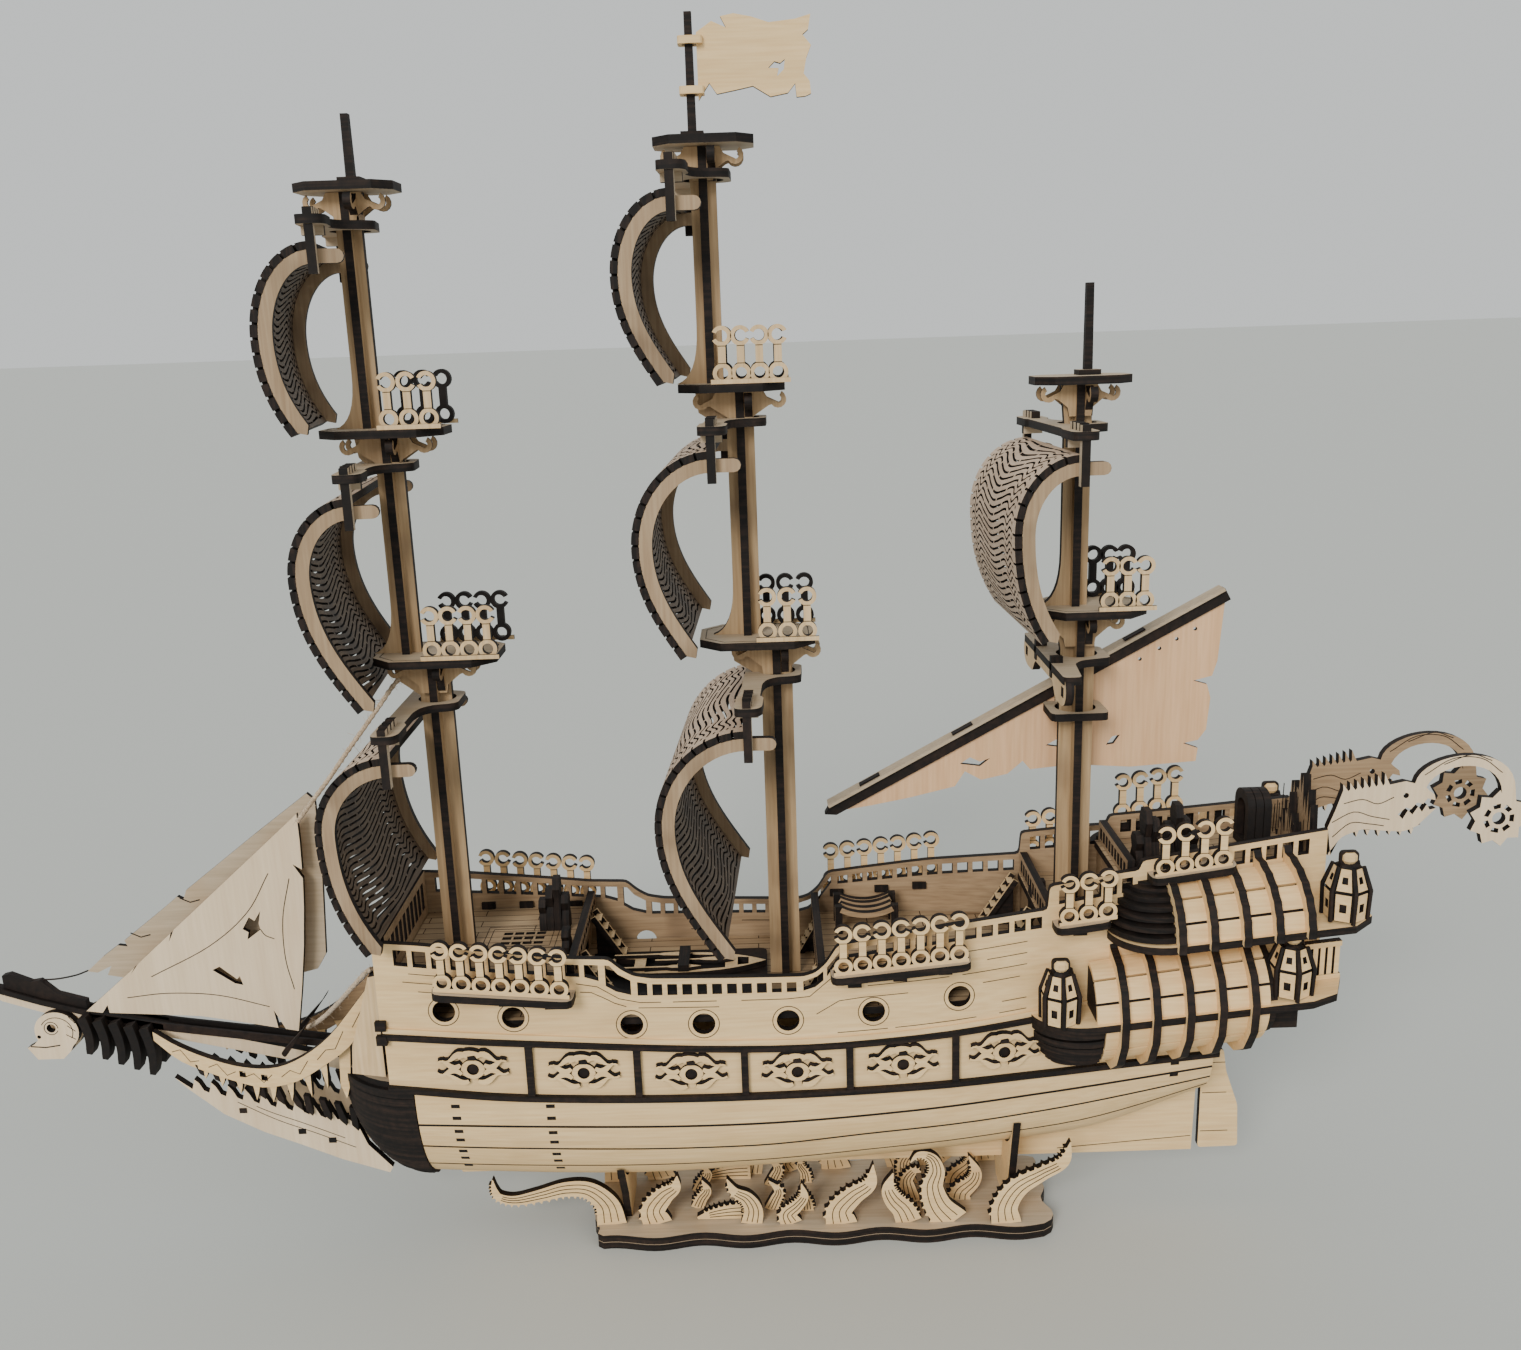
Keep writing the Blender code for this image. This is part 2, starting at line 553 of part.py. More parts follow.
def platform_outline(x, back, front, half, corner=8.0):
    return [(x + back, -half + corner), (x + back + corner, -half), (x + front - corner, -half),
            (x + front, -half + corner), (x + front, half - corner), (x + front - corner, half),
            (x + back + corner, half), (x + back, half - corner)]


def make_tops(ply, tenons):
    for name, (x, z, back, front, half) in TOPS.items():
        slot = rectangle(tenons[name][0] - GAP, tenons[name][1] + GAP, -PLY / 2 - GAP, PLY / 2 + GAP)
        sheet(name, platform_outline(x, back, front, half), "XY", z - PLY / 2, z + PLY / 2, ply, holes=[slot])


def make_mast(name, feet, tops, cap_z, spire_x, spire_top, material):
    """Cross-shaped mast: a stepped fore-and-aft sheet with one athwart sheet per section.

    feet is the deck height, tops lists the heights of the platforms it passes through.
    """
    xs = MAST_X[name]
    widths = MAST_WIDTH[name]
    levels = [feet + GAP, *tops, cap_z - PLY / 2]
    half_top = PLY / 2 + GAP
    front = []
    back = []
    tenons = []
    for i, (x, width) in enumerate(zip(xs, widths)):
        low = levels[i] + (half_top if i else 0.0)
        high = levels[i + 1] - (half_top if i < len(xs) - 1 else 0.0)
        flare = 7.0 if i else 0.0
        if i:
            front += [(x - width / 2 - flare, low), (x - width / 2 - flare * 0.35, low + 4.5),
                      (x - width / 2, low + 11.0)]
        else:
            front.append((x - width / 2, low))
        back.append((x + width / 2, low + 0.3))
        if i < len(xs) - 1:
            step = xs[i + 1] - widths[i + 1] / 2
            front += [(x - width / 2, high - 9.0), (min(step, x - width / 2) - 0.2, high - 4.0),
                      (min(step, x - width / 2) - 0.2, high)]
            tenon = (xs[i + 1] - 1.8, xs[i + 1] + 2.4)
            tenons.append(tenon)
            front += [(tenon[0], high), (tenon[0], levels[i + 1] + half_top)]
            back += [(x + width / 2, high - 0.3), (tenon[1], high - 0.3),
                     (tenon[1], levels[i + 1] + half_top + 0.3)]
        else:
            front.append((x - width / 2, high + 0.5))
            back.append((x + width / 2, high + 0.5))
    body = sheet(f"{name}_mast", front + list(reversed(back)), "XZ", -PLY / 2, PLY / 2, material,
                 pivot=(xs[0], 0.0, feet))
    pieces = []
    for i, (x, width) in enumerate(zip(xs, widths)):
        low = levels[i] + (half_top if i else 0.0)
        high = levels[i + 1] - (half_top if i < len(xs) - 1 else -0.7)
        half = width / 2 - 0.6
        pieces.append(sheet(f"{name}_cross_{i}", rectangle(-half, half, low + 0.3, high - 0.4), "YZ",
                            x - PLY / 2 + 0.05, x + PLY / 2 - 0.05, material))
    cap = platform_outline(xs[-1] + 0.6, -17.5, 17.5, 12.0, 6.0)
    pieces.append(sheet(f"{name}_cap", cap, "XY", cap_z - PLY / 2, cap_z + PLY / 2, material))
    spire = rectangle(spire_x - PLY / 2, spire_x + PLY / 2, cap_z - 0.2, spire_top)
    pieces.append(sheet(f"{name}_spire", spire, "XZ", -PLY / 2 + 0.1, PLY / 2 - 0.1, material))
    combine(body, "UNION", pieces)
    return tenons


# ---------------------------------------------------------------- yards and sails

class Sail:
    """Place and shape of one square sail; lengths are measured from its mast's axis."""

    def __init__(self, name, mast_x, width, top, board, depth, belly, height, foot, brace):
        self.name = name
        self.mast_x = mast_x
        self.half = width / 2
        self.top = top              # height of the upper end of the ribs
        self.board = board          # height of the underside of the yard's board
        self.depth = depth          # how far the ribs bulge ahead of the axis
        self.belly = belly          # drop from the top to the widest bulge
        self.height = height
        self.foot = foot            # how far the lower end lies ahead of the axis
        self.brace = math.radians(brace)

    def profile(self, inset=0.0, count=5):
        """Outer line of the ribs in (ahead, up) coordinates, moved inwards by inset."""
        head = 9.0
        upper = arc((-head, self.top - self.belly), (-(self.depth - head), self.belly), 90, 0, count)
        low_drop = self.height - self.belly
        lean = math.radians(33)
        start = (-self.depth, self.top - self.belly)
        end = (-self.foot, self.top - self.height)
        lower = bezier(start, (start[0], start[1] - 0.42 * low_drop),
                       (end[0] - 0.34 * low_drop * math.sin(lean), end[1] + 0.34 * low_drop * math.cos(lean)),
                       end, count)
        line = upper + lower[1:]
        if not inset:
            return line
        moved = []
        for i, (u, v) in enumerate(line):
            before = line[max(i - 1, 0)]
            after = line[min(i + 1, len(line) - 1)]
            du, dv = after[0] - before[0], after[1] - before[1]
            length = math.hypot(du, dv)
            moved.append((u - dv / length * inset, v + du / length * inset))
        return moved

    def place(self, ahead, across, up):
        c, s = math.cos(self.brace), math.sin(self.brace)
        return (self.mast_x + c * ahead - s * across, s * ahead + c * across, up)


SAILS = [
    Sail("fore_course", -143.0, 95.0, 219.5, 228.0, 34.5, 27.0, 72.4, 21.5, 0.5),
    Sail("fore_topsail", -152.0, 84.0, 310.6, 318.5, 29.0, 25.0, 72.0, 11.0, 6.0),
    Sail("fore_topgallant", -158.0, 70.0, 394.8, 402.5, 29.0, 29.0, 59.5, 20.0, 9.0),
    Sail("main_course", -12.0, 101.0, 225.8, 234.5, 40.7, 34.0, 84.0, 20.0, -3.0),
    Sail("main_topsail", -22.5, 87.0, 322.5, 330.5, 34.8, 30.0, 68.2, 20.0, -1.5),
    Sail("main_topgallant", -32.5, 70.0, 407.6, 415.5, 27.5, 25.0, 59.5, 14.0, -2.0),
    Sail("mizzen_topsail", 101.0, 81.0, 317.0, 324.5, 29.0, 24.0, 62.0, 19.0, 2.0),
]


def make_sail(sail, pale):
    """Bent sheet with a rib along each edge: a channel section swept down the ribs."""
    rib = 4.6
    skin = 1.6
    edge = sail.half
    outer = sail.profile(-skin)
    middle = sail.profile()
    inner = sail.profile(rib)
    sections = []
    for skin_point, rib_point, back_point in zip(outer, middle, inner):
        ring = [(edge, skin_point), (edge, back_point), (edge - PLY, back_point), (edge - PLY, rib_point)]
        whole = ring + [(-across, point) for across, point in reversed(ring)]
        sections.append([sail.place(point[0], across, point[1]) for across, point in whole])
    loft(f"{sail.name}_sail", sections, pale, pivot=(sail.mast_x, 0.0, sail.top))


def make_yard(sail, ply):
    """Yard board that turns round the mast, with a post at each end that holds a rib."""
    end = sail.half + GAP + PLY + 0.4
    outline = [(9.5, -8.0), (9.5, 8.0), (3.0, 11.0), (-4.5, 15.0), (-5.5, end), (-12.0, end), (-12.0, -end),
               (-5.5, -end), (-4.5, -15.0), (3.0, -11.0)]
    placed = [sail.place(u, v, 0.0)[:2] for u, v in outline]
    bore = arc((sail.mast_x, 0.0), YARD_BORE, 0, 337.5, 15)
    pivot = (sail.mast_x, 0.0, sail.board)
    body = sheet(f"{sail.name}_yard", placed, "XY", sail.board, sail.board + PLY, ply, [bore], pivot)
    posts = []
    for number, side in enumerate((-1, 1)):
        near = side * (sail.half + GAP)
        far = side * (sail.half + GAP + PLY)
        corners = [(-10.0, near), (-7.0, near), (-7.0, far), (-10.0, far)]
        foot = [sail.place(u, v, 0.0)[:2] for u, v in corners]
        posts.append(sheet(f"{sail.name}_post_{number}", foot, "XY", sail.top - 8.0, sail.board + 5.5, ply))
    combine(body, "UNION", posts)


def make_crossjack(ply):
    x = MAST_X["mizzen"][0]
    outline = [(x + 11.0, -9.0), (x + 11.0, 9.0), (x - 4.0, 13.0), (x - 6.5, 37.0), (x - 13.0, 37.0),
               (x - 13.0, -37.0), (x - 6.5, -37.0), (x - 4.0, -13.0)]
    bore = arc((x, 0.0), COLLAR_BORE, 0, 337.5, 15)
    body = sheet("crossjack_yard", outline, "XY", CROSSJACK_Z, CROSSJACK_Z + PLY, ply, [bore],
                 (x, 0.0, CROSSJACK_Z))
    board = [(-37.0, CROSSJACK_Z - 7.0), (-34.0, CROSSJACK_Z - 9.0), (34.0, CROSSJACK_Z - 9.0),
             (37.0, CROSSJACK_Z - 7.0), (37.0, CROSSJACK_Z + 1.0), (-37.0, CROSSJACK_Z + 1.0)]
    combine(body, "UNION", [sheet("crossjack_board", board, "YZ", x - 12.5, x - 9.5, ply)])


def make_lateen(ply, pale):
    """Slanting mizzen yard with its flat sail, carried beside the mast by a collar."""
    x = MAST_X["mizzen"][0]
    low, high = Vector((5.7, 174.8)), Vector((163.0, 259.7))
    along = (high - low).normalized()
    across = Vector((-along.y, along.x)) * 3.2
    outline = [tuple(low + along * 4 - across), tuple(high - across), tuple(high + across),
               tuple(low + along * 4 + across), tuple(low)]
    body = sheet("lateen_yard", outline, "XZ", LATEEN_Y, LATEEN_Y + 4.0, ply, pivot=(x, 0.0, 228.0))
    collar = [(x - 11.0, -10.0), (x + 11.0, -10.0), (x + 11.0, LATEEN_Y + 0.4), (x - 11.0, LATEEN_Y + 0.4)]
    bore = arc((x, 0.0), COLLAR_BORE, 0, 337.5, 15)
    hanger = rectangle(x - 6.0, x + 6.0, 218.0, 227.0)
    combine(body, "UNION", [sheet("lateen_collar", collar, "XY", 216.0, 219.0, ply, [bore]),
                            sheet("lateen_hanger", hanger, "XZ", LATEEN_Y - 0.5, LATEEN_Y + 0.65, ply)])
    upper = [tuple(low + along * d - across * 1.15) for d in (10.0, 176.5)]
    cloth = upper + [(157.5, 205.0), (154.0, 192.0), (128.0, 190.5), (103.0, 192.5), (85.0, 190.0), (68.5, 187.0),
                     (40.0, 180.5)]
    sheet("lateen_sail", cloth, "XZ", LATEEN_Y + 1.0, LATEEN_Y + 1.0 + THIN, pale, pivot=(x, 0.0, 228.0))


# ---------------------------------------------------------------- flag and twine

def make_flag(pale):
    pole = (-35.6, 0.0)
    outline = [(-32.9, 441.5), (-20.0, 444.5), (-8.0, 442.0), (4.0, 441.8), (6.3, 446.0), (4.5, 454.0),
               (6.3, 467.0), (-8.0, 466.0), (-20.0, 469.0), (-32.9, 464.0)]
    body = sheet("flag", outline, "XZ", -THIN / 2, THIN / 2, pale, pivot=(*pole, 450.0))
    clips = []
    for number, z in enumerate((443.5, 459.5)):
        ring = rectangle(-39.2, -30.8, -3.4, 3.4)
        hole = arc(pole, 2.45, 0, 315, 7)
        clips.append(sheet(f"flag_clip_{number}", ring, "XY", z, z + 2.5, pale, [hole]))
    combine(body, "UNION", clips)


FORE_STAY = [(-156.6, -1.0, 239.4), (-160.0, -2.0, 235.6), (-165.0, -3.0, 229.0), (-171.0, -3.6, 221.4),
             (-179.0, -4.0, 211.4), (-187.0, -4.4, 201.0), (-194.0, -5.6, 192.5), (-200.5, -6.6, 184.5)]
HEAD_LASHING = [(-170.5, -30.5, 133.0), (-173.5, -30.0, 130.5), (-178.0, -27.5, 125.5), (-184.0, -23.0, 118.5),
                (-190.0, -18.0, 111.5), (-197.0, -12.5, 104.0), (-203.0, -8.0, 98.5), (-207.0, -5.6, 95.5)]


def make_twine(name, route, fibre):
    """Round cord along a smooth curve through the points of its route, in millimetres."""
    points = [Vector(point) for point in route]
    padded = [points[0] * 2 - points[1]] + points + [points[-1] * 2 - points[-2]]
    smooth = []
    per_span = 3
    for i in range(1, len(padded) - 2):
        a, b, c, d = padded[i - 1:i + 3]
        for t in steps(0.0, 1.0, per_span)[:-1]:
            smooth.append(0.5 * (2 * b + (c - a) * t + (2 * a - 5 * b + 4 * c - d) * t**2
                                 + (3 * b - a - 3 * c + d) * t**3))
    smooth.append(points[-1])
    curve = bpy.data.curves.new(name, "CURVE")
    curve.dimensions = "3D"
    curve.bevel_depth = TWINE_RADIUS * MM
    curve.bevel_resolution = 2
    curve.use_fill_caps = True
    spline = curve.splines.new("POLY")
    spline.points.add(len(smooth) - 1)
    for target, point in zip(spline.points, smooth):
        target.co = (*(point * MM), 1.0)
    curve.materials.append(fibre)
    item = bpy.data.objects.new(name, curve)
    bpy.context.scene.collection.objects.link(item)


# ---------------------------------------------------------------- the whole ship

def main():
    clear_scene()
    ply = wood("birch_ply", (0.78, 0.63, 0.41))
    dark = wood("charred_edge", (0.035, 0.022, 0.016), 0.8)
    tan = wood("deck_ply", (0.47, 0.32, 0.18))
    pale = wood("sail_ply", (0.74, 0.56, 0.38))
    fibre = wood("jute_twine", (0.52, 0.40, 0.26), 0.9)
    make_stand(ply)
    make_keel(ply)
    make_bow_block(dark)
    for side, label in ((-1, "port"), (1, "starboard")):
        make_bilge(side, f"lower_planking_{label}", ply)
        make_panel_band(side, f"panel_band_{label}", ply)
        make_upper_side(side, f"upper_side_{label}", ply)
        make_gallery(side, f"gallery_{label}", ply)
        make_beak(side, f"head_rail_{label}", ply)
        make_serpent(side, f"stern_serpent_{label}", ply)
    make_decks(tan)
    make_bulkheads(tan, dark)
    make_cutwater(ply)
    make_bowsprit(ply)
    make_figurehead(ply)
    make_jibs(pale)
    fore = make_mast("fore", FORE_DECK, (248.0, 332.5), 417.0, -155.8, 441.3, ply)
    middle = make_mast("main", WAIST_DECK, (251.0, 344.5), 428.0, -35.6, 469.8, ply)
    mizzen = make_mast("mizzen", MIZZEN_DECK, (258.0,), 343.0, 104.3, 376.7, ply)
    tenons = {"fore_lower_top": fore[0], "fore_upper_top": fore[1], "main_lower_top": middle[0],
              "main_upper_top": middle[1], "mizzen_top": mizzen[0]}
    make_tops(ply, tenons)
    for sail in SAILS:
        make_sail(sail, pale)
        make_yard(sail, ply)
    make_crossjack(ply)
    make_lateen(ply, pale)
    make_flag(pale)
    make_twine("fore_stay_twine", FORE_STAY, fibre)
    make_twine("head_lashing_twine", HEAD_LASHING, fibre)


main()
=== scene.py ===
"""Looks of a laser-cut plywood model ship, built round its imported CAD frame.

The ship lies along X with its bow towards -X, its port side towards -Y and Z up.  Lengths
are in millimetres until a mesh is made.  Most pieces are flat sheets of 3 mm plywood with
pale faces and charred edges: an outline, and a function that places it in space.
"""

import json
import math
import random

import bmesh
import bpy
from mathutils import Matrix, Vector
from mathutils.geometry import tessellate_polygon


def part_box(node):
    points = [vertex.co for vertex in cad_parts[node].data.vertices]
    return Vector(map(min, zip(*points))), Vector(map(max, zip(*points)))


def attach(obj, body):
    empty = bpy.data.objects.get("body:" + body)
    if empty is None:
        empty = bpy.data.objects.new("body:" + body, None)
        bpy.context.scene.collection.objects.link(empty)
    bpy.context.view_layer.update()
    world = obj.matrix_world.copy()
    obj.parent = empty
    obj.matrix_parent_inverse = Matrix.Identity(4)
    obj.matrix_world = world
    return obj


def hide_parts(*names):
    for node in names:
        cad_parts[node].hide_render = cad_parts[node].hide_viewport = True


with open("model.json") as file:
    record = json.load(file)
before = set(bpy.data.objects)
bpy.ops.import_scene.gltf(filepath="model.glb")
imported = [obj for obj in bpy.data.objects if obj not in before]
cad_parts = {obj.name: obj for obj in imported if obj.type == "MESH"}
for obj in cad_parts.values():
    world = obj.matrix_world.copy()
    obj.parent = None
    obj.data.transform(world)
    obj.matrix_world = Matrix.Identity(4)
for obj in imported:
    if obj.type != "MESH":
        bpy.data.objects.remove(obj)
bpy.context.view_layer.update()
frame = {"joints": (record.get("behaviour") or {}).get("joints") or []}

MM = 0.001
PLY = 3.0                   # thickness of the plywood sheets
THIN = 2.0                  # thinner sheet of the flat sails and the flag
GAP = 0.35                  # clearance between neighbouring sheets
SCORE = 0.07                # how far a burnt line stands off its surface
HULL = "hull"
NAMES = {-1: "port", 1: "starboard"}
SIDES = (-1, 1)


def top_of(node):
    """Height of a CAD node's upper face, in millimetres."""
    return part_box(node)[1].z / MM


def pivot_of(body):
    """Place of the joint on which a body turns, in millimetres."""
    joint = next(j for j in frame["joints"] if j["child"] == body)
    return Vector(joint["pos_m"]) / MM


FORE_DECK = top_of("fore_deck")
WAIST_DECK = top_of("waist_deck")
QUARTER_DECK = top_of("quarter_deck")
MIZZEN_DECK = top_of("mizzen_deck")
POOP_DECK = 154.5            # at the fore edge of the poop, which rises towards the stern
BASE_TOP = top_of("stand_base")


# ---------------------------------------------------------------- finishes

def mix_colours(tree, kind, factor, first, second):
    """Mix node over two colours; factor, first and second are sockets or plain values."""
    node = tree.nodes.new("ShaderNodeMix")
    node.data_type = "RGBA"
    node.blend_type = kind
    for socket, value in ((node.inputs[0], factor), (node.inputs[6], first), (node.inputs[7], second)):
        if hasattr(value, "is_linked"):
            tree.links.new(value, socket)
        else:
            socket.default_value = value
    return node.outputs[2]


def stretched_noise(tree, stretch, scale, detail):
    """Noise over the object's own coordinates, drawn out along one or more axes."""
    place = tree.nodes.new("ShaderNodeTexCoord")
    mapping = tree.nodes.new("ShaderNodeMapping")
    mapping.inputs["Scale"].default_value = stretch
    noise = tree.nodes.new("ShaderNodeTexNoise")
    noise.inputs["Scale"].default_value = scale
    noise.inputs["Detail"].default_value = detail
    tree.links.new(place.outputs["Object"], mapping.inputs["Vector"])
    tree.links.new(mapping.outputs["Vector"], noise.inputs["Vector"])
    return noise.outputs["Fac"]


def ramp(tree, value, stops):
    node = tree.nodes.new("ShaderNodeValToRGB")
    elements = node.color_ramp.elements
    while len(elements) < len(stops):
        elements.new(0.5)
    for element, (place, colour) in zip(elements, stops):
        element.position = place
        element.color = (*colour, 1.0)
    tree.links.new(value, node.inputs["Fac"])
    return node.outputs["Color"]


def bump(tree, shader, height, strength, distance):
    node = tree.nodes.new("ShaderNodeBump")
    node.inputs["Strength"].default_value = strength
    node.inputs["Distance"].default_value = distance
    tree.links.new(height, node.inputs["Height"])
    tree.links.new(node.outputs["Normal"], shader.inputs["Normal"])


def new_material(name, roughness):
    material = bpy.data.materials.new(name)
    material.use_nodes = True
    tree = material.node_tree
    shader = tree.nodes["Principled BSDF"]
    shader.inputs["Roughness"].default_value = roughness
    shader.inputs["Specular IOR Level"].default_value = 0.3
    return material, tree, shader


GRAIN = {"X": (0.05, 1.0, 1.0), "Y": (1.0, 0.05, 1.0), "Z": (1.0, 1.0, 0.05)}


def birch(name, light, shade, smoke, axis, smoke_share):
    """Birch veneer: fine streaks along one axis, and tan smoke stains."""
    material, tree, shader = new_material(name, 0.62)
    streaks = stretched_noise(tree, GRAIN[axis], 900.0, 6.0)
    wide = stretched_noise(tree, GRAIN[axis], 130.0, 3.0)
    base = ramp(tree, streaks, [(0.32, shade), (0.68, light)])
    figure = ramp(tree, wide, [(0.3, (0.86, 0.84, 0.80)), (0.7, (1.0, 1.0, 1.0))])
    wood = mix_colours(tree, "MULTIPLY", 0.8, base, figure)
    patches = ramp(tree, stretched_noise(tree, (1.0, 1.0, 1.0), 38.0, 2.0),
                   [(0.52, (0.0, 0.0, 0.0)), (0.78, (1.0, 1.0, 1.0))])
    amount = tree.nodes.new("ShaderNodeMath")
    amount.operation = "MULTIPLY"
    amount.inputs[1].default_value = smoke_share
    tree.links.new(patches, amount.inputs[0])
    stained = mix_colours(tree, "MIX", amount.outputs[0], wood, (*smoke, 1.0))
    tree.links.new(stained, shader.inputs["Base Color"])
    bump(tree, shader, streaks, 0.25, 0.00008)
    return material


def charred(name, axis):
    """Burnt edge of the plywood: nearly black, with its glue lines along one axis."""
    material, tree, shader = new_material(name, 0.72)
    soot = stretched_noise(tree, (1.0, 1.0, 1.0), 420.0, 5.0)
    across = {"X": (1.0, 0.02, 0.02), "Y": (0.02, 1.0, 0.02), "Z": (0.02, 0.02, 1.0)}[axis]
    layers = stretched_noise(tree, across, 900.0, 1.0)
    dark = ramp(tree, soot, [(0.3, (0.004, 0.0028, 0.0024)), (0.75, (0.014, 0.009, 0.0065))])
    veneer = ramp(tree, layers, [(0.42, (0.55, 0.5, 0.5)), (0.62, (1.9, 1.6, 1.45))])
    colour = mix_colours(tree, "MULTIPLY", 1.0, dark, veneer)
    tree.links.new(colour, shader.inputs["Base Color"])
    bump(tree, shader, soot, 0.4, 0.0001)
    return material


def planked(name, light, shade, joint, length, width):
    """Engraved deck planks with staggered butts, seen from above."""
    material, tree, shader = new_material(name, 0.66)
    place = tree.nodes.new("ShaderNodeTexCoord")
    brick = tree.nodes.new("ShaderNodeTexBrick")
    brick.inputs["Scale"].default_value = 1.0
    brick.inputs["Brick Width"].default_value = length
    brick.inputs["Row Height"].default_value = width
    brick.inputs["Mortar Size"].default_value = 0.00022
    brick.inputs["Mortar Smooth"].default_value = 0.1
    brick.inputs["Color1"].default_value = (1.0, 1.0, 1.0, 1.0)
    brick.inputs["Color2"].default_value = (0.86, 0.84, 0.82, 1.0)
    brick.inputs["Mortar"].default_value = (*joint, 1.0)
    tree.links.new(place.outputs["Object"], brick.inputs["Vector"])
    streaks = stretched_noise(tree, GRAIN["X"], 700.0, 6.0)
    base = ramp(tree, streaks, [(0.3, shade), (0.7, light)])
    patches = stretched_noise(tree, (1.0, 1.0, 1.0), 30.0, 3.0)
    soot = ramp(tree, patches, [(0.4, (1.0, 1.0, 1.0)), (0.8, (0.55, 0.47, 0.40))])
    wood = mix_colours(tree, "MULTIPLY", 1.0, base, soot)
    colour = mix_colours(tree, "MULTIPLY", 1.0, wood, brick.outputs["Color"])
    tree.links.new(colour, shader.inputs["Base Color"])
    bump(tree, shader, streaks, 0.3, 0.0001)
    return material


def jute_fibre(name):
    material, tree, shader = new_material(name, 0.9)
    strands = stretched_noise(tree, (1.0, 1.0, 1.0), 1500.0, 4.0)
    colour = ramp(tree, strands, [(0.3, (0.26, 0.19, 0.12)), (0.7, (0.62, 0.49, 0.35))])
    tree.links.new(colour, shader.inputs["Base Color"])
    shader.inputs["Sheen Weight"].default_value = 0.35
    bump(tree, shader, strands, 0.5, 0.00015)
    return material


LIGHT = (0.86, 0.625, 0.335)
SHADE = (0.76, 0.52, 0.26)
SMOKE = (0.42, 0.26, 0.12)
SIDE_PLY = birch("birch_side", LIGHT, SHADE, SMOKE, "X", 0.22)
MAST_PLY = birch("birch_mast", (0.46, 0.32, 0.18), (0.35, 0.23, 0.12), (0.14, 0.085, 0.05), "Z", 0.6)
RIB_PLY = birch("birch_rib", (0.74, 0.55, 0.32), (0.62, 0.43, 0.23), SMOKE, "Z", 0.45)
SAIL_RIB = birch("sail_rib", (0.40, 0.29, 0.18), (0.31, 0.21, 0.125), (0.11, 0.07, 0.04), "Z", 0.75)
# Darkened copy of the birch: painted shade, for faces inside the hull and boards that stand in the shade
# between parts.
SHADED_PLY = birch("birch_shaded", (0.42, 0.29, 0.17), (0.30, 0.20, 0.115), (0.10, 0.06, 0.035), "X", 0.7)
TOP_PLY = birch("birch_flat", (0.52, 0.42, 0.30), (0.43, 0.34, 0.235), SMOKE, "X", 0.4)
SAIL_OUTER = birch("sail_outer", (0.60, 0.46, 0.34), (0.50, 0.37, 0.27), (0.33, 0.22, 0.14), "Y", 0.5)
# Nearly black back of the bent sails: painted shade on their hollow side, and partly the burnt back of the
# sheet.
SAIL_SHADED_BACK = birch("sail_back_shaded", (0.155, 0.108, 0.07), (0.085, 0.058, 0.038), (0.03, 0.02, 0.014), "Y", 0.8)
JIB_PLY = birch("jib_veneer", (0.80, 0.64, 0.45), (0.74, 0.58, 0.39), (0.60, 0.43, 0.26), "Z", 0.25)
LATEEN_PLY = birch("lateen_veneer", (0.78, 0.50, 0.29), (0.70, 0.42, 0.23), (0.64, 0.38, 0.20), "Z", 0.5)
DECK_PLY = planked("deck_planks", (0.47, 0.34, 0.20), (0.36, 0.25, 0.145), (0.10, 0.065, 0.04), 0.046, 0.0052)
CHAR_X = charred("charred_x", "X")
CHAR_Y = charred("charred_y", "Y")
CHAR_Z = charred("charred_z", "Z")
JUTE = jute_fibre("jute_fibre")


# ---------------------------------------------------------------- shape helpers

def steps(start, end, count):
    return [start + (end - start) * i / count for i in range(count + 1)]


def smooth_through(points):
    """Function of x that passes smoothly through a few (x, value) pairs."""
    def tangent(i):
        before = points[max(i - 1, 0)]
        after = points[min(i + 1, len(points) - 1)]
        return (after[1] - before[1]) / (after[0] - before[0])

    def value(x):
        if x <= points[0][0]:
            return points[0][1] + tangent(0) * (x - points[0][0])
        if x >= points[-1][0]:
            return points[-1][1] + tangent(len(points) - 1) * (x - points[-1][0])
        i = max(k for k in range(len(points) - 1) if points[k][0] <= x)
        (x0, y0), (x1, y1) = points[i], points[i + 1]
        span = x1 - x0
        t = (x - x0) / span
        return (y0 * (2 * t**3 - 3 * t**2 + 1) + y1 * (3 * t**2 - 2 * t**3)
                + tangent(i) * span * (t**3 - 2 * t**2 + t)
                + tangent(i + 1) * span * (t**3 - t**2))
    return value


def straight_through(points):
    """Function of x along straight pieces between (x, value) pairs."""
    def value(x):
        for (x0, y0), (x1, y1) in zip(points, points[1:]):
            if x <= x1:
                return y0 + (y1 - y0) * (x - x0) / (x1 - x0)
        return points[-1][1]
    return value


def arc(centre, radius, start, end, count):
    """Points on an arc; radius is one number or an (a, b) pair, angles in degrees."""
    a, b = radius if isinstance(radius, tuple) else (radius, radius)
    angles = [math.radians(angle) for angle in steps(start, end, count)]
    return [(centre[0] + a * math.cos(t), centre[1] + b * math.sin(t)) for t in angles]


def circle(centre, radius, count):
    return arc(centre, radius, 0.0, 360.0, count)[:-1]


def bezier(p0, p1, p2, p3, count):
    points = []
    for t in steps(0.0, 1.0, count):
        s = 1.0 - t
        points.append(tuple(s**3 * p0[k] + 3 * s * s * t * p1[k] + 3 * s * t * t * p2[k] + t**3 * p3[k]
                            for k in range(2)))
    return points


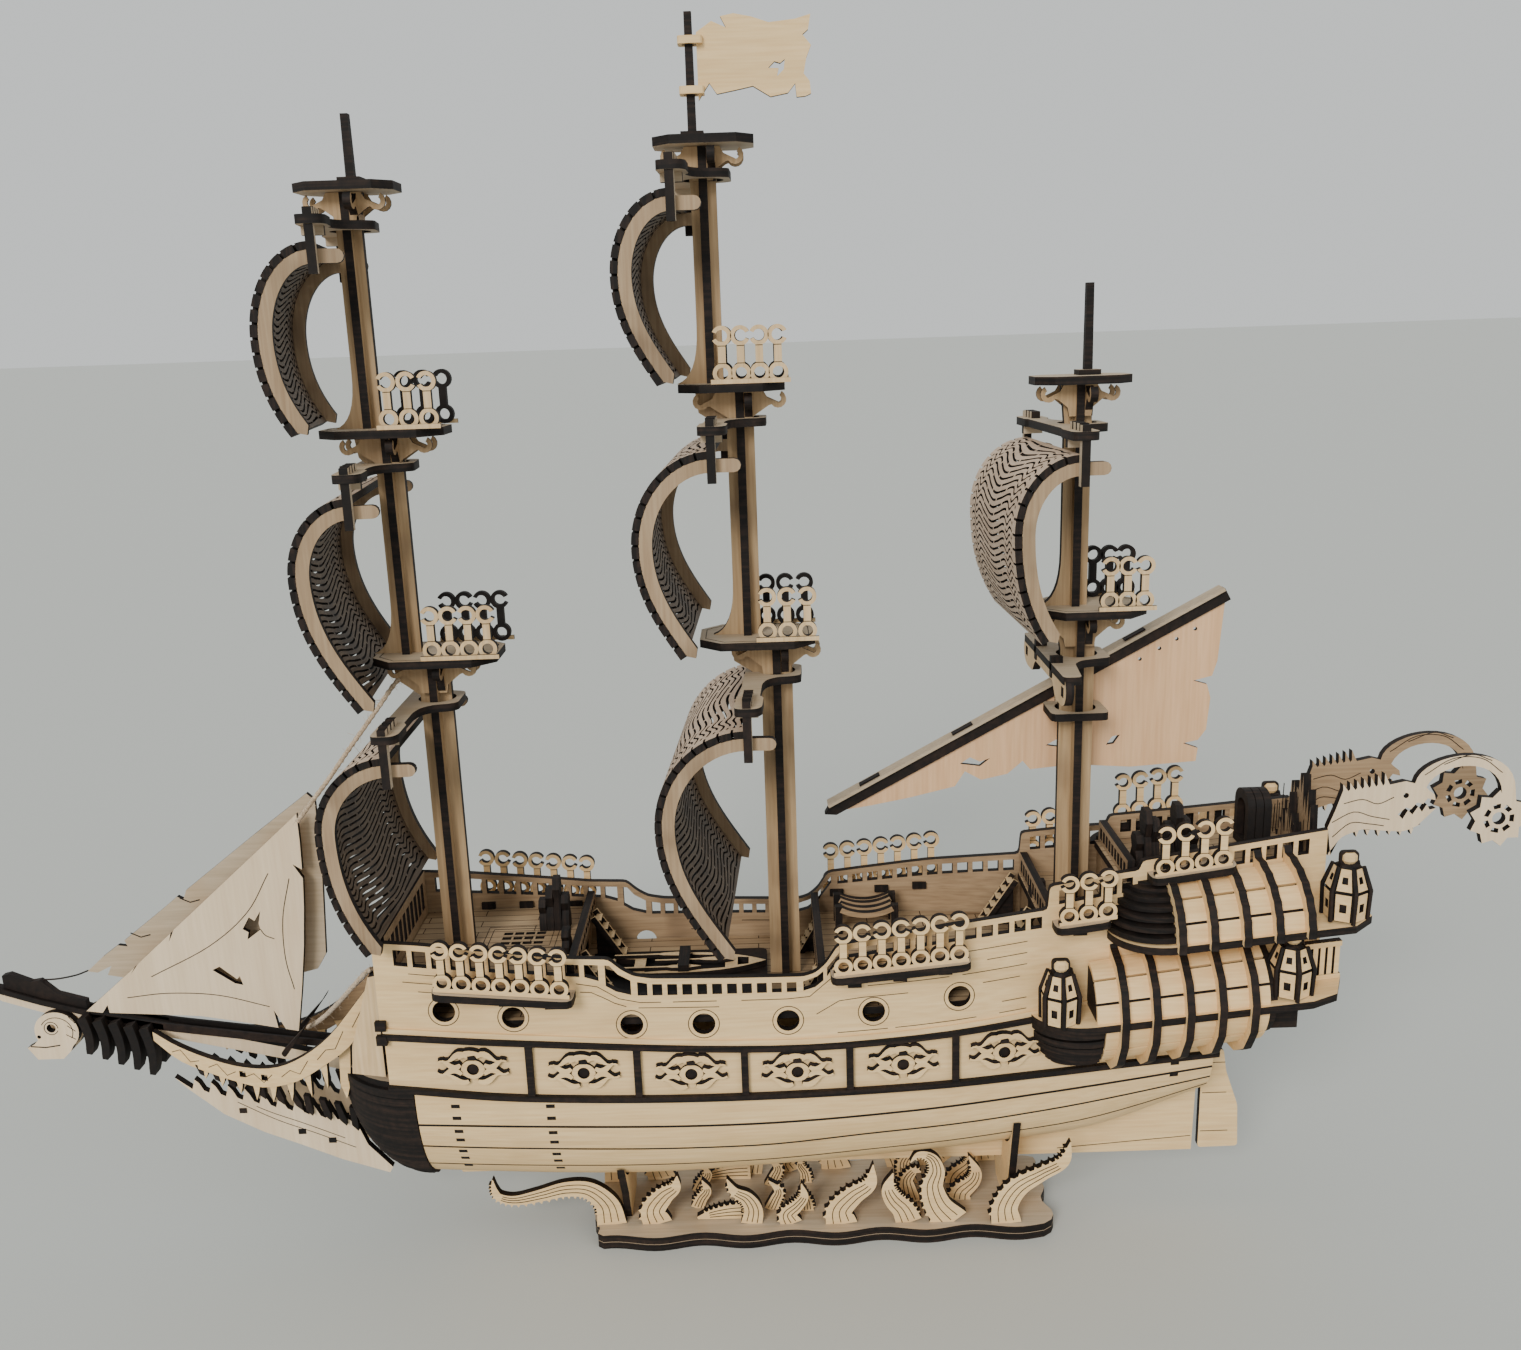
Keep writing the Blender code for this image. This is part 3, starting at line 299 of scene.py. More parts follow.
def spline(points, per_span):
    """Smooth open curve through points of any dimension."""
    vectors = [Vector(point) for point in points]
    padded = [vectors[0] * 2 - vectors[1]] + vectors + [vectors[-1] * 2 - vectors[-2]]
    curve = []
    for i in range(1, len(padded) - 2):
        a, b, c, d = padded[i - 1:i + 3]
        for t in steps(0.0, 1.0, per_span)[:-1]:
            curve.append(0.5 * (2 * b + (c - a) * t + (2 * a - 5 * b + 4 * c - d) * t**2
                                + (3 * b - a - 3 * c + d) * t**3))
    curve.append(vectors[-1])
    return [tuple(point) for point in curve]


def mirrored(half):
    """Whole outline from its right half, which runs from one end of the middle line to the other."""
    return half + [(-u, v) for u, v in reversed(half)]


def rectangle(u0, u1, v0, v1):
    return [(u0, v0), (u1, v0), (u1, v1), (u0, v1)]


def slanted(u0, u1, low, high):
    """Four-sided hole between two lines given as functions of u."""
    return [(u0, low(u0)), (u1, low(u1)), (u1, high(u1)), (u0, high(u0))]


def rounded(points, radius, count=3):
    """Outline with each corner replaced by a small curve."""
    result = []
    total = len(points)
    for i in range(total):
        here = Vector(points[i])
        before = Vector(points[i - 1]) - here
        after = Vector(points[(i + 1) % total]) - here
        cut = min(radius, before.length * 0.45, after.length * 0.45)
        start = here + before.normalized() * cut
        end = here + after.normalized() * cut
        for t in steps(0.0, 1.0, count):
            result.append(tuple(start * (1 - t)**2 + here * 2 * t * (1 - t) + end * t * t))
    return result


def ribbon(line, widths):
    """Outline of a band along a line, with a half width for each of its points."""
    left, right = [], []
    for i, (u, v) in enumerate(line):
        before = line[max(i - 1, 0)]
        after = line[min(i + 1, len(line) - 1)]
        du, dv = after[0] - before[0], after[1] - before[1]
        length = math.hypot(du, dv)
        left.append((u - dv / length * widths[i], v + du / length * widths[i]))
        right.append((u + dv / length * widths[i], v - du / length * widths[i]))
    return left + list(reversed(right))


def on_side(side, near, far):
    """Range from near to far on one side of the middle, lower end first."""
    return sorted((side * near, side * far))


def on_xz(u, v, w):
    return (u, w, v)


def on_xy(u, v, w):
    return (u, v, w)


def on_yz(u, v, w):
    return (w, u, v)


class Piece:
    """Mesh under construction, in millimetres; each face keeps the number of its finish."""

    def __init__(self, *finishes):
        self.finishes = finishes
        self.points = []
        self.faces = []
        self.kinds = []

    def add(self, points, faces, kinds):
        first = len(self.points)
        self.points += points
        self.faces += [[first + i for i in face] for face in faces]
        self.kinds += kinds

    def sheet(self, outline, place, low, high, holes=(), face=0, edge=1, back=None, cuts=()):
        """Flat or bent sheet; cuts are places along u where its faces are split to bend."""
        loops = [list(outline)] + [list(hole) for hole in holes]
        bm = bmesh.new()
        corners = [bm.verts.new((u, v, 0.0)) for loop in loops for u, v in loop]
        for triangle in tessellate_polygon([[Vector((u, v, 0.0)) for u, v in loop] for loop in loops]):
            bm.faces.new([corners[i] for i in triangle])
        for u in cuts:
            everything = bm.verts[:] + bm.edges[:] + bm.faces[:]
            bmesh.ops.bisect_plane(bm, geom=everything, plane_co=(u, 0.0, 0.0), plane_no=(1.0, 0.0, 0.0))
        bm.verts.index_update()
        count = len(bm.verts)
        flat = [tuple(vertex.co) for vertex in bm.verts]
        points = [place(u, v, low) for u, v, _ in flat] + [place(u, v, high) for u, v, _ in flat]
        lower = [[vertex.index for vertex in item.verts] for item in bm.faces]
        upper = [[count + i for i in reversed(item)] for item in lower]
        rims = [(item.verts[0].index, item.verts[1].index) for item in bm.edges if item.is_boundary]
        walls = [[a, b, b + count, a + count] for a, b in rims]
        bm.free()
        kinds = [face if back is None else back] * len(upper)
        self.add(points, lower + upper + walls, [face] * len(lower) + kinds + [edge] * len(walls))
        return self

    def loft(self, sections, kind=0):
        """Closed skin through rings with the same number of points each."""
        count = len(sections[0])
        points = [tuple(point) for section in sections for point in section]
        faces = []
        for s in range(len(sections) - 1):
            for i in range(count):
                j = (i + 1) % count
                faces.append([s * count + i, s * count + j, (s + 1) * count + j, (s + 1) * count + i])
        faces.append(list(range(count)))
        last = (len(sections) - 1) * count
        faces.append([last + i for i in range(count)])
        self.add(points, faces, [kind] * len(faces))
        return self

    def tube(self, path, radius, kind=0, sides=8):
        rings = []
        for i, point in enumerate(path):
            before = Vector(path[max(i - 1, 0)])
            after = Vector(path[min(i + 1, len(path) - 1)])
            along = (after - before).normalized()
            side = along.cross(Vector((0.31, 0.17, 0.93))).normalized()
            up = side.cross(along)
            turns = [2 * math.pi * k / sides for k in range(sides)]
            rings.append([Vector(point) + (side * math.cos(t) + up * math.sin(t)) * radius for t in turns])
        return self.loft(rings, kind)

    def score(self, line, place, level, rise, width):
        """Burnt line: a narrow strip along a line in a sheet's plane, just proud of its face."""
        outline = ribbon(line, [width / 2] * len(line))
        count = len(line)
        rings = []
        for i in range(count):
            (lu, lv), (ru, rv) = outline[i], outline[2 * count - 1 - i]
            rings.append([place(lu, lv, level - rise), place(lu, lv, level + rise),
                          place(ru, rv, level + rise), place(ru, rv, level - rise)])
        return self.loft(rings, 1)

    def make(self, name, body, stands_for=()):
        """The finished object: it rides on a body and may stand for CAD nodes."""
        mesh = bpy.data.meshes.new(name)
        mesh.from_pydata([[c * MM for c in point] for point in self.points], [], self.faces)
        for finish in self.finishes:
            mesh.materials.append(finish)
        mesh.polygons.foreach_set("material_index", self.kinds)
        bm = bmesh.new()
        bm.from_mesh(mesh)
        bmesh.ops.recalc_face_normals(bm, faces=bm.faces)
        bm.to_mesh(mesh)
        bm.free()
        mesh.shade_smooth()
        mesh.set_sharp_from_angle(angle=math.radians(32))
        item = bpy.data.objects.new(name, mesh)
        bpy.context.scene.collection.objects.link(item)
        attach(item, body)
        if stands_for:
            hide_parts(*stands_for)
        return item


# ---------------------------------------------------------------- camera, floor and light

CAMERA_AT = (-16.3, -499.2, 364.0)
CAMERA_TURN = (75.58, 1.875, -0.258)         # degrees about X, Y and Z
CAMERA_LENS = 31.74


def make_camera():
    data = bpy.data.cameras.new("camera")
    data.lens = CAMERA_LENS
    data.sensor_width = 36.0
    data.clip_start = 0.01
    camera = bpy.data.objects.new("camera", data)
    camera.location = Vector(CAMERA_AT) * MM
    camera.rotation_euler = [math.radians(angle) for angle in CAMERA_TURN]
    bpy.context.scene.collection.objects.link(camera)
    bpy.context.scene.camera = camera


def make_floor():
    material, _, shader = new_material("pale_floor", 0.55)
    shader.inputs["Base Color"].default_value = (0.50, 0.515, 0.49, 1.0)
    mesh = bpy.data.meshes.new("floor")
    reach = 40.0                # metres
    mesh.from_pydata([(-reach, -reach, -0.0002), (reach, -reach, -0.0002), (reach, reach, -0.0002),
                      (-reach, reach, -0.0002)], [], [(0, 1, 2, 3)])
    mesh.materials.append(material)
    floor = bpy.data.objects.new("floor", mesh)
    bpy.context.scene.collection.objects.link(floor)


def make_sun(name, turn, power, spread, colour):
    """Distant soft light: turn is its tilt from the zenith and its heading, in degrees."""
    data = bpy.data.lights.new(name, "SUN")
    data.energy = power
    data.angle = math.radians(spread)
    data.color = colour
    lamp = bpy.data.objects.new(name, data)
    tilt, heading = turn
    lamp.rotation_euler = (math.radians(tilt), 0.0, math.radians(heading))
    bpy.context.scene.collection.objects.link(lamp)


def make_lights():
    world = bpy.data.worlds.new("room")
    world.use_nodes = True
    background = world.node_tree.nodes["Background"]
    background.inputs["Color"].default_value = (0.72, 0.745, 0.74, 1.0)
    background.inputs["Strength"].default_value = 1.05
    bpy.context.scene.world = world
    make_sun("key", (61.0, -24.0), 2.45, 22.0, (1.0, 0.965, 0.91))
    make_sun("fill", (62.0, 48.0), 0.35, 45.0, (0.95, 0.975, 1.0))


# ---------------------------------------------------------------- twine

TWINE_RADIUS = 0.95
FORE_STAY = [(-156.6, -1.0, 239.4), (-160.0, -2.0, 235.6), (-165.0, -3.0, 229.0), (-171.0, -3.6, 221.4),
             (-179.0, -4.0, 211.4), (-187.0, -4.4, 201.0), (-194.0, -5.6, 192.5), (-200.5, -6.6, 184.5)]
HEAD_LASHING = [(-170.5, -30.5, 133.0), (-173.5, -30.0, 130.5), (-178.0, -27.5, 125.5),
                (-184.0, -23.0, 118.5), (-190.0, -18.0, 111.5), (-197.0, -12.5, 104.0), (-203.0, -8.0, 98.5),
                (-207.0, -5.6, 95.5)]


def make_twine(name, route, node, seed):
    """Two-yarn twine along the route, with loose fibres standing off it."""
    path = [Vector(point) for point in spline(route, 10)]
    piece = Piece(JUTE)
    sides = 12
    travelled = 0.0
    rings = []
    for i, point in enumerate(path):
        before = path[max(i - 1, 0)]
        after = path[min(i + 1, len(path) - 1)]
        travelled += (point - before).length
        along = (after - before).normalized()
        side = along.cross(Vector((0.31, 0.17, 0.93))).normalized()
        up = side.cross(along)
        turn = 2 * math.pi * travelled / 5.5
        ring = []
        for k in range(sides):
            angle = 2 * math.pi * k / sides
            radius = TWINE_RADIUS * (0.94 + 0.16 * math.cos(2 * (angle - turn)))
            ring.append(point + (side * math.cos(angle) + up * math.sin(angle)) * radius)
        rings.append(ring)
    piece.loft(rings)
    item = piece.make(name, HULL, [node])
    draw = random.Random(seed)
    fibres = Piece(JUTE)
    for _ in range(60):
        start = draw.choice(path)
        swing = Vector([draw.uniform(-1, 1) for _ in range(3)]).normalized()
        bend = Vector([draw.uniform(-1, 1) for _ in range(3)])
        reach = draw.uniform(1.4, 3.4)
        fibres.tube([start + swing * reach * t + bend * reach * 0.5 * t * t for t in steps(0.0, 1.0, 4)],
                    0.06, sides=4)
    hairs = fibres.make(f"{name}_fibres", HULL)


# ---------------------------------------------------------------- square sails

class SailShape:
    """A square sail's ribs: a quarter ellipse above the bulge and a free curve below it.

    Lengths are measured from its mast's axis; the joint of its body gives that axis.
    """

    def __init__(self, body, width, top, depth, belly, height, foot, brace):
        pivot = pivot_of(body)
        self.body = body
        self.mast_x = pivot.x
        self.board = pivot.z
        self.half = width / 2
        self.top = top
        self.brace = math.radians(brace)
        head = 9.0
        lean = math.radians(33)
        drop = height - belly
        upper = arc((-head, top - belly), (-(depth - head), belly), 90, 0, 24)
        start = (-depth, top - belly)
        end = (-foot, top - height)
        lower = bezier(start, (start[0], start[1] - 0.42 * drop),
                       (end[0] - 0.34 * drop * math.sin(lean), end[1] + 0.34 * drop * math.cos(lean)), end,
                       24)
        self.line = upper + lower[1:]
        self.travel = [0.0]
        for (u0, v0), (u1, v1) in zip(self.line, self.line[1:]):
            self.travel.append(self.travel[-1] + math.hypot(u1 - u0, v1 - v0))
        self.length = self.travel[-1]

    def at(self, travel, inset=0.0):
        """Point of the rib's outer line after a length along it, moved inwards by inset."""
        travel = min(max(travel, 0.0), self.length)
        i = max(k for k in range(len(self.line) - 1) if self.travel[k] <= travel)
        (u0, v0), (u1, v1) = self.line[i], self.line[i + 1]
        share = (travel - self.travel[i]) / (self.travel[i + 1] - self.travel[i])
        du, dv = self.normal(i, share)
        return (u0 + (u1 - u0) * share + du * inset, v0 + (v1 - v0) * share + dv * inset)

    def normal(self, i, share):
        """Direction towards the hollow side, turned smoothly from one point to the next."""
        def at_vertex(k):
            before = self.line[max(k - 1, 0)]
            after = self.line[min(k + 1, len(self.line) - 1)]
            du, dv = after[0] - before[0], after[1] - before[1]
            return Vector((-dv, du)).normalized()
        return at_vertex(i) * (1 - share) + at_vertex(i + 1) * share

    def place(self, ahead, up, across):
        c, s = math.cos(self.brace), math.sin(self.brace)
        return (self.mast_x + c * ahead - s * across, s * ahead + c * across, up)

    def place_flat(self, ahead, across, up):
        return self.place(ahead, up, across)

    def place_athwart(self, across, up, ahead):
        return self.place(ahead, up, across)


SAILS = [
    SailShape("fore_course", 95.0, 219.5, 34.5, 27.0, 72.4, 21.5, 0.5),
    SailShape("fore_topsail", 84.0, 310.6, 29.0, 25.0, 72.0, 11.0, 6.0),
    SailShape("fore_topgallant", 70.0, 394.8, 29.0, 29.0, 59.5, 20.0, 9.0),
    SailShape("main_course", 101.0, 225.8, 40.7, 34.0, 84.0, 20.0, -3.0),
    SailShape("main_topsail", 87.0, 322.5, 34.8, 30.0, 68.2, 20.0, -1.5),
    SailShape("main_topgallant", 70.0, 407.6, 27.5, 25.0, 59.5, 14.0, -2.0),
    SailShape("mizzen_topsail", 81.0, 317.0, 29.0, 24.0, 62.0, 19.0, 2.0),
]
RIB_DEPTH = 4.6
SKIN = 2.6
SLAT_PITCH = 2.35            # one slat and one slot of the sail's living hinge
SLOT = 0.85
TAB = 3.6                    # width of the comb of tabs along each edge
WAVE = smooth_through([(-1.0, 0.0), (-0.86, -1.6), (-0.74, 0.7), (-0.60, -1.3), (-0.3, 1.2), (0.0, 3.0),
                       (0.3, 1.2), (0.60, -1.3), (0.74, 0.7), (0.86, -1.6), (1.0, 0.0)])


def make_skin(sail):
    """Bent sheet cut into slats by wavy slots, with narrow bridges between the slats."""
    count = int(sail.length / SLAT_PITCH)
    count -= count % 2
    pitch = sail.length / count
    inner_half = sail.half - TAB
    across = [-sail.half] + steps(-inner_half, inner_half, 54) + [sail.half]
    lines = [0.0]
    for k in range(1, count):
        lines += [k * pitch - SLOT / 2, k * pitch + SLOT / 2]
    lines.append(count * pitch)
    columns = len(across)
    last_line = len(lines) - 1

    def shifted(line, column):
        v = across[column]
        room = min(lines[line], sail.length - lines[line]) / 9.0
        wave = WAVE(v / inner_half) if abs(v) <= inner_half else 0.0
        return lines[line] + wave * min(room, 1.0)

    points = []
    for level in (0.15, -SKIN):
        for line in range(last_line + 1):
            for column in range(columns):
                ahead, up = sail.at(shifted(line, column), level)
                points.append(sail.place(ahead, up, across[column]))
    layer = (last_line + 1) * columns

    def solid(line, column):
        """Whether the cell between two lines and two columns holds wood."""
        if line < 0 or line >= last_line or column < 0 or column >= columns - 1:
            return False
        if line % 2 == 0:
            return True
        row = (line - 1) // 2
        if column in (0, columns - 2):
            return row % 2 == 0
        if column in (1, columns - 3):
            return True
        return (column + (7 if row % 2 else 0)) % 14 == 3

    # The hollow side of the skin takes the nearly black back finish: painted shade, partly the burnt back of
    # the sheet.
    piece = Piece(SAIL_OUTER, CHAR_X, SAIL_SHADED_BACK)
    faces, kinds = [], []
    for line in range(last_line):
        for column in range(columns - 1):
            if not solid(line, column):
                continue
            a = line * columns + column
            b, c, d = a + 1, a + columns + 1, a + columns
            faces += [[a, b, c, d], [layer + d, layer + c, layer + b, layer + a]]
            kinds += [2, 0]
            for other, (p, q) in (((line - 1, column), (a, b)), ((line + 1, column), (c, d)),
                                  ((line, column - 1), (d, a)), ((line, column + 1), (b, c))):
                if not solid(*other):
                    faces.append([q, p, layer + p, layer + q])
                    kinds.append(1)
    piece.add(points, faces, kinds)
    return piece.make(f"{sail.body}_slatted_skin", sail.body, [f"{sail.body}_sail"])


def make_ribs(sail):
    """Curved rib along each edge, with a rounded head behind the post and a hooked foot."""
    piece = Piece(SAIL_RIB, CHAR_X)
    travels = steps(0.0, sail.length, 30)
    outer = [sail.at(t) for t in travels]
    inner = [sail.at(t, RIB_DEPTH) for t in travels]
    top_u, top_v = outer[0]
    head = arc((top_u + 8.0, top_v - RIB_DEPTH / 2), RIB_DEPTH / 2, 90, -90, 6)
    foot_u, foot_v = sail.at(sail.length, RIB_DEPTH / 2)
    end_u, end_v = sail.at(sail.length - 3.0, RIB_DEPTH / 2)
    foot = [(foot_u + (foot_u - end_u) * 0.8, foot_v + (foot_v - end_v) * 0.8)]
    outline = list(reversed(head)) + outer + foot + list(reversed(inner))
    for side in SIDES:
        near, far = on_side(side, sail.half - PLY, sail.half)
        piece.sheet(outline, sail.place, near, far)
    return piece.make(f"{sail.body}_ribs", sail.body)


def make_yard(sail):
    """Yard board round the mast, with a post and three stubs at each end."""
    piece = Piece(TOP_PLY, CHAR_Z, CHAR_Y)
    end = sail.half + GAP + PLY + 0.4
    arm = [(9.5, 0.0), (9.5, 8.0), (6.0, 10.0), (1.0, 10.5), (-3.0, 14.0), (-4.6, 20.0), (-4.6, end - 17.0),
           (-3.2, end - 15.0), (-3.2, end - 3.0), (-5.0, end), (-13.0, end), (-13.0, end - 17.0),
           (-12.0, end - 19.0), (-12.0, 0.0)]
    outline = rounded(arm[1:-1] + [(u, -v) for u, v in reversed(arm[1:-1])], 3.0)
    bore = circle((0.0, 0.0), 7.2, 24)
    low = sail.board
    piece.sheet(outline, sail.place_flat, low, low + PLY, [bore])
    for side in SIDES:
        near = side * (sail.half + GAP)
        far = side * (sail.half + GAP + PLY)
        post = rectangle(min(near, far), max(near, far), sail.top - 8.0, low + 5.2)
        piece.sheet(post, sail.place_athwart, -10.0, -7.0, face=0, edge=2)
        for number in range(3):
            centre = side * (sail.half - 1.5 - number * 4.6)
            stub = rectangle(centre - 1.5, centre + 1.5, low + PLY - 0.2, low + 5.6)
            piece.sheet(stub, sail.place_athwart, -10.2, -6.8, edge=2)
        block = rectangle(-12.4, -5.0, low - 3.0, low + 0.2)
        lip_near, lip_far = on_side(side, sail.half - 9.0, sail.half - 6.0)
        piece.sheet(block, sail.place, lip_near, lip_far, edge=2)
    return piece.make(f"{sail.body}_yard_board", sail.body, [f"{sail.body}_yard"])


# ---------------------------------------------------------------- masts, tops and their links

MASTS = {
    # name: axes and widths of its sections, foot, platform heights, cap height, spire place and top
    "fore": ((-143.0, -152.0, -158.0), (12.0, 10.0, 9.0), FORE_DECK, (248.0, 332.5), 417.0, -155.8, 441.3),
    "main": ((-12.0, -22.5, -32.5), (12.0, 10.0, 9.0), WAIST_DECK, (251.0, 344.5), 428.0, -35.6, 469.8),
    "mizzen": ((103.0, 101.0), (13.0, 10.0), MIZZEN_DECK, (258.0,), 343.0, 104.3, 376.7),
}


def platform_outline(x, back, front, half, corner=8.0):
    return [(x + back, -half + corner), (x + back + corner, -half), (x + front - corner, -half),
            (x + front, -half + corner), (x + front, half - corner), (x + front - corner, half),
            (x + back + corner, half), (x + back, half - corner)]


def bracket_outline(reach, stem, low, high):
    """Two-sided cleat below a platform: arms that curl up into open hooks at their ends."""
    right = [(stem, low), (stem + 0.6, low + 3.2), (reach - 6.4, high - 5.2)]
    hook = arc((reach - 3.0, high - 3.2), 3.0, 215, 420, 8)
    inner = arc((reach - 3.0, high - 3.2), 1.3, 60, -75, 5)
    top = [(reach - 7.0, high - 2.4), (reach - 8.4, high)]
    half = right + hook + inner + top
    return mirrored(half)


def make_mast(name):
    xs, widths, foot, tops, cap_z, spire_x, spire_top = MASTS[name]
    piece = Piece(MAST_PLY, CHAR_Z, TOP_PLY)
    levels = [foot] + list(tops) + [cap_z]
    for i, (x, width) in enumerate(zip(xs, widths)):
        low = levels[i] + (PLY / 2 if i else 0.3)
        high = levels[i + 1] - PLY / 2
        half = width / 2
        flare = bezier((x - half - 8.0, low), (x - half - 3.0, low + 1.5), (x - half, low + 7.0),
                       (x - half, low + 20.0), 8) if i else [(x - half, low)]
        step = xs[i + 1] - widths[i + 1] / 2 if i < len(xs) - 1 else x - half
        head = [(x - half, high - 14.0), (min(step, x - half) - 0.6, high - 7.5),
                (min(step, x - half) - 1.6, high)]
        piece.sheet(flare + head + [(x + half + 1.4, high), (x + half, high - 8.0), (x + half, low)], on_xz,
                    -PLY / 2, PLY / 2)
        for side in SIDES:
            near, far = on_side(side, PLY / 2 + 0.05, half)
            piece.sheet(rectangle(near, far, low, high - 0.1), on_yz, x - PLY / 2, x + PLY / 2)
        reach, drop = (14.5, 11.5) if i == len(xs) - 1 else (17.0, 12.5)
        cleat = [(x + u, v) for u, v in bracket_outline(reach, half - 1.0, high - drop, high - 0.2)]
        for y in (-4.4, 3.4):
            piece.sheet(cleat, on_xz, y, y + 1.0)
        piece.sheet(bracket_outline(12.5, half - 1.0, high - 11.5, high - 0.2), on_yz, x + 1.8, x + 4.6)
    cap = platform_outline(xs[-1] + 0.6, -17.5, 17.5, 12.0, 6.0)
    piece.sheet(cap, on_xy, cap_z - PLY / 2, cap_z + PLY / 2, face=2)
    piece.sheet([(spire_x - 1.5, cap_z + 1.5), (spire_x + 1.5, cap_z + 1.5), (spire_x + 1.3, spire_top),
                 (spire_x - 1.3, spire_top)], on_xz, -1.5, 1.5, face=1)
    collar = rectangle(spire_x - 4.0, spire_x + 4.0, -4.0, 4.0)
    piece.sheet(collar, on_xy, cap_z + 1.6, cap_z + 3.4, face=2)
    piece.make(f"{name}_mast_sheets", HULL, [f"{name}_mast"])


TOPS = {
    # node: centre, height, ends, half width and the x of its first link, link count and link pitch
    "fore_lower_top": (-140.3, 248.0, -23.3, 23.3, 17.0, -139.5, 4, 6.9),
    "fore_upper_top": (-152.4, 332.5, -22.6, 22.6, 15.0, -147.5, 3, 7.2),
    "main_lower_top": (-18.9, 251.0, -21.6, 21.6, 17.0, -15.0, 3, 7.4),
    "main_upper_top": (-25.2, 344.5, -19.2, 19.2, 15.0, -28.0, 4, 6.6),
    "mizzen_top": (107.0, 258.0, -20.0, 20.0, 16.0, 111.5, 3, 6.4),
}
LINK_RISE = 12.9             # between the two rings of a link
RING = 3.5
EYE = 2.05


def link_outline():
    """Deadeye link: a closed ring below, a bar, and an open hook above."""
    bar = 1.35
    lean = math.degrees(math.asin(bar / RING))
    lower = arc((0.0, 0.0), RING, 90 + lean, 450 - lean, 18)
    upper_start = arc((0.0, LINK_RISE), RING, 270 + lean, 335, 5)
    inner = arc((0.0, LINK_RISE), EYE, 335, 25, 16)
    upper_end = arc((0.0, LINK_RISE), RING, 25, 270 - lean, 16)
    return lower + upper_start + inner + upper_end


def add_links(piece, first_x, count, pitch, y, z, slope, towards, face=0):
    """Row of links in an XZ sheet; the hooks open towards the bow or the stern in turn."""
    thickness = 2.6
    low, high = sorted((y, y - towards * thickness))
    for number in range(count):
        x = first_x + pitch * number
        foot_z = z + slope * number
        flip = 1 if number % 2 else -1
        outline = [(x + flip * u, foot_z + v) for u, v in link_outline()]
        piece.sheet(outline, on_xz, low, high, [circle((x, foot_z), EYE, 14)], face=face)
        for end in (-1, 1):
            mark = [(x - 1.3, foot_z + LINK_RISE / 2 + end * 3.0),
                    (x + 1.3, foot_z + LINK_RISE / 2 + end * 3.0)]
            piece.score(mark, on_xz, low, -SCORE, 0.25)


def make_top(node):
    x, z, back, front, half, first, count, pitch = TOPS[node]
    piece = Piece(TOP_PLY, CHAR_Z)
    piece.sheet(platform_outline(x, back, front, half), on_xy, z - PLY / 2, z + PLY / 2)
    trim = platform_outline(x, back + 2.2, front - 2.2, half - 2.2, 7.0)
    piece.score(trim + trim[:1], on_xy, z + PLY / 2, SCORE, 0.3)
    piece.make(f"{node}_platform", HULL, [node])
    links = Piece(RIB_PLY, CHAR_Y, SHADED_PLY)
    foot = z + PLY / 2 + RING + 0.1
    for side in SIDES:
        y = side * (half - 1.6)
        add_links(links, first, count, pitch, y, foot, 0.0, side, face=0 if side < 0 else 1)
        strip = rectangle(first - 4.2, first + pitch * (count - 1) + 4.2, z + PLY / 2, z + PLY / 2 + 1.6)
        near, far = sorted((y + side * 0.15, y + side * 1.3))
        links.sheet(strip, on_xz, near, far)
    links.make(f"{node}_links", HULL)


# ---------------------------------------------------------------- lines of the hull

HULL_FRONT = -168.0
HULL_BACK = 196.0
HULL_CURVE = 2.24            # exponent of the bottom's rounded cross section
half_beam = smooth_through([(-168, 35.6), (-120, 37.6), (-40, 38.0), (40, 34.8), (90, 29.4), (124, 25.8),
                            (196, 20.0)])
upper_wale = smooth_through([(-168, 107.3), (-111, 103.6), (-29, 98.5), (11, 98.1), (69, 101.5),
                             (160, 112.0)])
lower_wale = smooth_through([(-168, 85.5), (-112, 80.7), (-29, 78.5), (85, 79.4), (160, 82.0)])
hull_bottom = smooth_through([(-158, 30.0), (-78, 26.5), (-29, 28.0), (21, 31.0), (76, 35.0), (114, 40.0),
                              (160, 58.0)])
RAIL_TOP = [(-168.0, 145.8), (-150.0, 144.5), (-94.0, 137.9), (-79.0, 137.2), (-74.5, 133.0), (-70.0, 130.2),
            (-63.0, 128.9), (-30.0, 127.8), (-5.5, 127.2), (-1.0, 128.6), (3.0, 132.2), (7.5, 139.2),
            (50.0, 144.6), (87.6, 147.7), (88.4, 157.2), (113.0, 160.2), (123.0, 161.0), (124.0, 164.8),
            (160.0, 168.6), (196.0, 172.6)]
rail_top = straight_through(RAIL_TOP)
rail_foot = straight_through([(-166.0, 136.7), (-149.7, 135.0), (-84.8, 129.6), (-78.8, 124.8),
                              (-71.5, 121.7), (-5.7, 120.6), (0.8, 122.7), (8.4, 133.3), (55.5, 137.9),
                              (86.8, 140.2), (89.0, 149.0), (122.6, 152.5), (125.0, 157.0), (195.0, 163.5)])


def section_width(x, z):
    """Half width of the hull below the lower wale, at height z."""
    top = lower_wale(x)
    depth = min(max((top - z) / (top - hull_bottom(x)), 0.0), 1.0)
    return half_beam(x) * math.sqrt(max(0.0, 1.0 - depth**HULL_CURVE))


def beside(side):
    """Placing on the hull's side: w is measured outwards from the side's outer face."""
    def place(u, v, w):
        return (u, side * (half_beam(u) + w), v)
    return place


def below(side):
    """Placing on the rounded planking below the lower wale."""
    def place(u, v, w):
        return (u, side * (section_width(u, v) + w), v)
    return place


# ---------------------------------------------------------------- sides of the hull

